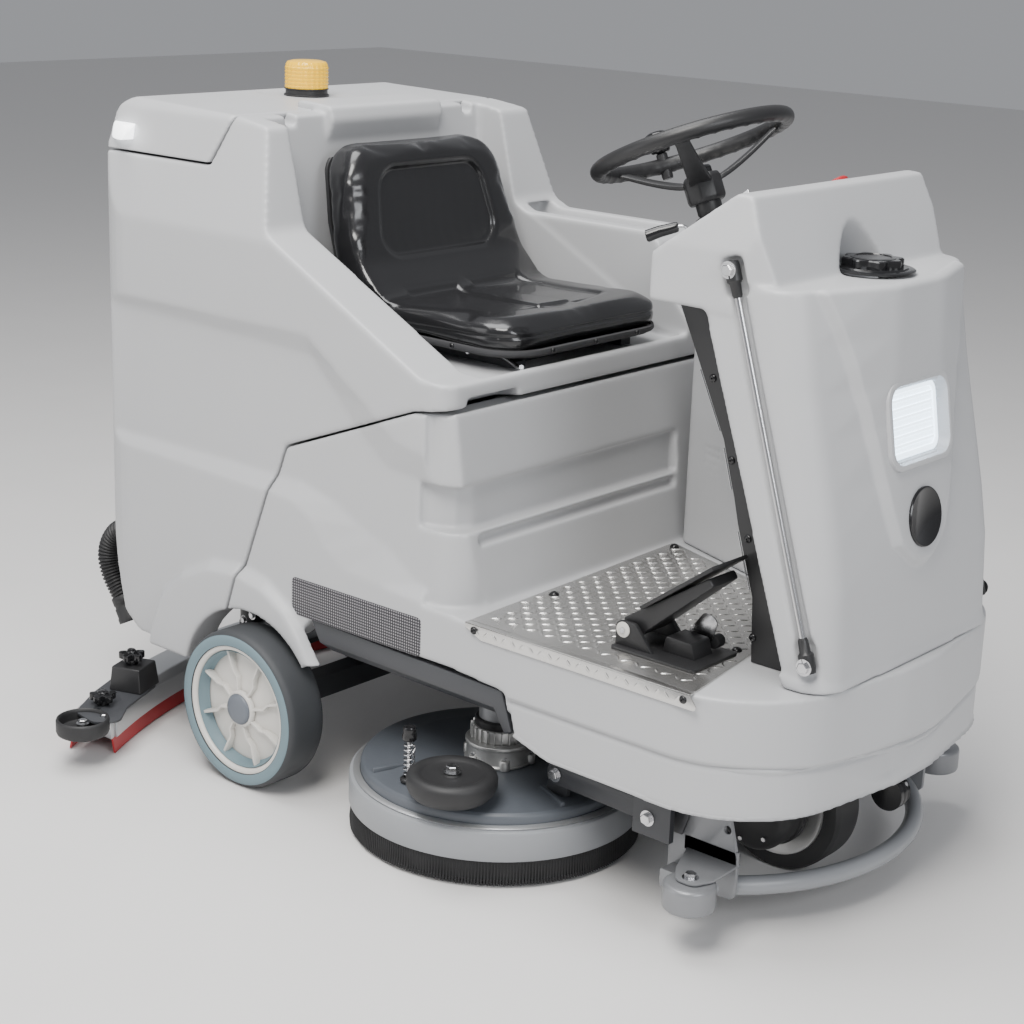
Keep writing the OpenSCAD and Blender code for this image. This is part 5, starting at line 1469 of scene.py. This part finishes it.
casting = curve_solid(outline([(-46, 30, 1), (-46, 68, 8), (-32, 84, 8), (32, 84, 8), (46, 68, 8),
                               (46, 30, 1), (41.5, 30, 1), (41.5, 65, 4), (30, 77, 4),
                               (-30, 77, 4), (-41.5, 65, 4), (-41.5, 30, 1)], 3), 540, "squeegee_casting")
csg(casting, ("-", lathe([(0, 10), (20, 10), (20, 110), (0, 110)], P(-462, 0, 0), UP, 48)))
finish(casting, "squeegee", "squeegee_alloy", 40, node="squeegee_body")
finish(curve_solid(outline([(-29, 58, 1), (29, 58, 1), (29, 63.4, 1), (-29, 63.4, 1)], 2), 590,
                   "squeegee_plate"), "squeegee", "dark_frame", 40)
blade_r = curve_solid([(-47, 2), (-43.6, 2), (-36.4, 40), (-36, 74), (-39.6, 74), (-40, 40)], 552,
                      "blade_rear")
blade_f = curve_solid([(36, 74), (36.4, 40), (42.6, 2), (46, 2), (40, 40), (39.6, 74)], 550, "blade_front")
finish(join("squeegee_blade_pair", blade_r, blade_f), "squeegee", "red_rubber", 40, node="squeegee_blades")
inlet = lathe([(20.2, 60), (24, 60), (24, 84), (28, 85), (28, 92), (26, 94), (26, 146), (28, 148),
               (28, 150), (20.2, 150)], P(-462, 0, 0), UP, 64, "squeegee_inlet")
finish(inlet, "squeegee", "black_plastic", 40)
saddle = prism(outline([(-442, -60, 14), (-300, -86, 20), (-286, -60, 14), (-286, 60, 14), (-300, 86, 20),
                        (-442, 60, 14)]), "z", 84, 95, "squeegee_saddle")
csg(saddle, ("-", lathe([(0, 70), (12.1, 70), (12.1, 120), (0, 120)], P(-330, 0, 0), UP, 40)))
finish(saddle, "squeegee", "dark_frame", 30, 1.2)


def star(at, r=25, h=14, name="star", body="squeegee"):
    """Five-lobed clamp knob."""
    pts = []
    for k in range(120):
        t = 2 * math.pi * k / 120
        lobe = 0.5 + 0.5 * math.cos(5 * t)
        pts.append((r * (0.56 + 0.44 * lobe ** 0.6) * math.cos(t), r * (0.56 + 0.44 * lobe ** 0.6)
                    * math.sin(t)))
    x0, y0 = at.x * 1000 - AXLE, at.y * 1000
    a = prism([(x0 + p[0], y0 + p[1]) for p in pts], "z", at.z * 1000 + 10, at.z * 1000 + 10 + h, "s")
    b = lathe([(0, 0), (12, 0), (13, 6), (12, 12), (0, 12)], at, UP, 32)
    c = lathe([(0, 10 + h - 0.4), (11, 10 + h - 0.4), (9, 14 + h), (0, 15 + h)], at, UP, 32)
    return finish(join(name, a, b, c), body, "black_gloss", 35, 1.6)


for s, side in SIDES:
    # clamp at the casting's end, with its seam
    seg = [P(squeeze(yy) + a, s * yy, h) for yy in (522, 537)
           for a, h in ((-48, 32), (-48, 69), (-33, 86), (33, 86), (48, 69), (48, 32))]
    finish(make("casting_end_" + side, seg, end_faces(2, 6) + side_faces(2, 6)), "squeegee",
           "squeegee_alloy", 30, 1.2)
    # lobed plate under the knobs with its holes and small bolts
    lob = prism(outline([(-420, s * 396, 20), (-326, s * 372, 26), (-268, s * 500, 24), (-224, s * 552, 22),
                         (-252, s * 592, 22), (-318, s * 584, 20), (-372, s * 500, 30)]),
                "z", 84.2, 89.4, "knob_plate_" + side)
    for hx, hy in ((-300, 545), (-345, 470), (-352, 412)):
        csg(lob, ("-", lathe([(0, 70), (7, 70), (7, 110), (0, 110)], P(hx, s * hy, 0), UP, 24)))
    finish(lob, "squeegee", "dark_frame", 30, 1.0)
    for k, (hx, hy) in enumerate(((-262, 560), (-330, 520), (-392, 412))):
        hex_bolt(P(hx, s * hy, 89.4), UP, 9, 4.5, True, f"plate_bolt_{side}_{k}", "squeegee")
    boxb = prism([(-388, s * 396), (-322, s * 374), (-296, s * 444), (-362, s * 468)], "z", 89.4, 138,
                 "squeegee_bracket_" + side,
                 [(-384, s * 400), (-326, s * 380), (-302, s * 442), (-360, s * 462)])
    finish(boxb, "squeegee", "black_plastic", 30, 3.0, segments=3)
    hex_bolt(P(-318, s * 414, 112), (0.93, s * -0.36, 0), 13, 7, True, f"bracket_bolt_{side}", "squeegee")
    star(P(-343, s * 425, 138.5), 26, 13, "star_knob_a_" + side)
    star(P(-310, s * 524, 89.6), 26, 13, "star_knob_b_" + side)
    # wall roller: cup with a bolt
    qc = P(-272, s * 602, 0)
    cup = lathe([(6.05, 64.6), (44, 64.6), (48, 67), (50, 72), (50, 92), (48.6, 95.4), (46, 96.4), (44, 95),
                 (43, 90), (42, 76), (38, 73.4), (14, 72.8), (12, 74), (11, 80), (6.05, 80)],
                qc, UP, 96, "wall_roller_" + side)
    finish(cup, "squeegee_roller_" + side, "black_rubber", 50, node="squeegee_roller_" + side)
    finish(lathe([(0, 56), (5.95, 56), (5.95, 84), (0, 84)], qc, UP, 32, "wall_spindle_" + side),
           "squeegee", "bright_steel", 40)
    hex_bolt(qc + Vector((0, 0, 0.0842)), UP, 15, 8, True, "wall_bolt_" + side, "squeegee")
    ear = prism(outline([(-312, s * 570), (-258, s * 570), (-250, s * 600, 12), (-262, s * 618, 10),
                         (-286, s * 618, 10), (-306, s * 600, 10)]), "z", 57.6, 63.8, "roller_ear_" + side)
    finish(ear, "squeegee", "dark_frame", 30, 1.0)

# ---------------------------------------------------------------- drain hose, ribbed
route = [P(*p) for p in ((-448, -329, 372), (-455, -330, 371), (-474, -332, 367), (-496, -336, 352),
                         (-511, -340, 326), (-514, -342, 296), (-505, -342, 268),
                         (-489, -341, 244), (-472, -340, 224))]
centre_line = smooth_path(route, 28)
walk, total = [0.0], 0.0
for p, q in zip(centre_line, centre_line[1:]):
    total += (q - p).length
    walk.append(total)
rings, radii = [], []
rib_pitch = 0.0072
steps = int(total / rib_pitch * 8)
for i in range(steps + 1):
    dd = total * i / steps
    k = min(len(walk) - 2, int(np.searchsorted(walk, dd, side="right")) - 1)
    f = (dd - walk[k]) / max(walk[k + 1] - walk[k], 1e-9)
    rings.append(centre_line[k].lerp(centre_line[k + 1], f))
    ph = (dd / rib_pitch) % 1.0
    radii.append(17.6 + 3.4 * smoothstep(np.array(1.35 * (0.5 + 0.5 * math.cos(2 * math.pi * ph)))).item())
finish(sweep(rings, 20, 40, "drain_hose_ribbed", radii=radii), "recovery_tank", "black_rubber", 60,
       node="drain_hose")
a_, b_ = P(-474, -340.4, 227), P(-448, -338, 180)
dirc = (b_ - a_)
cuff = lathe([(0, 0), (22.5, 0), (24, 2), (24, 16), (22.6, 18), (22.6, 22), (24.4, 24), (24.4, 42),
              (26, 44), (26, dirc.length * 1000), (19, dirc.length * 1000), (19, dirc.length * 1000 - 6),
              (0, dirc.length * 1000 - 6)], a_, dirc, 64, "drain_cuff_end")
finish(cuff, "recovery_tank", "black_rubber", 45, node="drain_cuff")
strap_ = prism(outline([(-446, 198), (-436, 198, 4), (-403.6, 262, 20), (-427.2, 329), (-434, 329),
                        (-411, 263, 18), (-446, 206)]), "y", -352, -328, "hose_clip")
finish(strap_, "recovery_tank", "black_plastic", 30, 1.0)
socket = lathe([(0, -6), (26, -6), (28, 0), (28, 9), (24, 13), (22, 16), (0, 16)], P(-448, -329, 372),
               Vector((-0.98, -0.12, -0.12)), 48, "hose_socket")
finish(socket, "recovery_tank", "black_plastic", 45)

# ---------------------------------------------------------------- CAD pieces that stay as they are
KEEP = {"dark_frame": ["chassis_frame", "rear_axle", "seat_rails", "steer_fork", "lift_arms", "squeegee_arm"],
        "battery": ["battery_pack"], "black_plastic": ["water_pump", "controller_box", "vacuum_motor"]}
for mat, nodes in KEEP.items():
    for n in nodes:
        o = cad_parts[n]
        if not o.hide_render:
            o.data.materials.clear()
            o.data.materials.append(M[mat])

# ---------------------------------------------------------------- floor, light, camera
floor_mat = new_material("floor", (0.74, 0.73, 0.72), 0.55, grain=0.1, grain_scale=60, mottle=0.015)
floor = make("floor", [(-14, -14, 0), (14, -14, 0), (14, 14, 0), (-14, 14, 0)], [(0, 1, 2, 3)])
floor.data.materials.append(floor_mat)
world = bpy.data.worlds.new("studio")
SCENE.world = world
world.use_nodes = True
world.node_tree.nodes["Background"].inputs["Color"].default_value = (0.93, 0.95, 1.0, 1)
world.node_tree.nodes["Background"].inputs["Strength"].default_value = 0.36


def area_light(name, at, target, size, power, color=(1, 1, 1), size_y=None):
    d = bpy.data.lights.new(name, "AREA")
    d.energy = power
    d.color = color
    d.shape = "RECTANGLE"
    d.size, d.size_y = size, size_y or size
    o = bpy.data.objects.new(name, d)
    at, target = Vector(at), Vector(target)
    o.matrix_world = Matrix.Translation(at) @ (target - at).to_track_quat("-Z", "Y").to_matrix().to_4x4()
    SCENE.collection.objects.link(o)


area_light("key", (0.9, -2.6, 4.2), (0.0, 0, 0.6), 2.0, 230, (1.0, 0.98, 0.95))
area_light("overhead", (-0.8, -0.4, 4.6), (0, 0, 0.5), 2.6, 170)
area_light("front_fill", (4.4, -1.6, 2.6), (0.4, 0, 0.5), 1.8, 90, (0.95, 0.97, 1.0))
area_light("side_fill", (-2.6, -4.2, 1.6), (-0.2, 0, 0.5), 2.6, 45)

# the camera's azimuth, elevation and roll, in radians
az, el, roll = 0.70022, 0.28896, 0.035877
back = Vector((math.sin(az) * math.cos(el), -math.cos(az) * math.cos(el), math.sin(el)))
right = Vector((math.cos(az), math.sin(az), 0))
up = back.cross(right)
r2 = right * math.cos(roll) + up * math.sin(roll)
u2 = up * math.cos(roll) - right * math.sin(roll)
eye = Vector((2.6333 + AXLE / 1000, -2.8197, 1.5895))
cam = bpy.data.cameras.new("camera")
cam.sensor_width = 36
cam.lens = 71.94
cam.clip_end = 100
co_ = bpy.data.objects.new("camera", cam)
co_.matrix_world = Matrix(((r2.x, u2.x, back.x, eye.x), (r2.y, u2.y, back.y, eye.y),
                           (r2.z, u2.z, back.z, eye.z), (0, 0, 0, 1)))
SCENE.collection.objects.link(co_)
SCENE.camera = co_
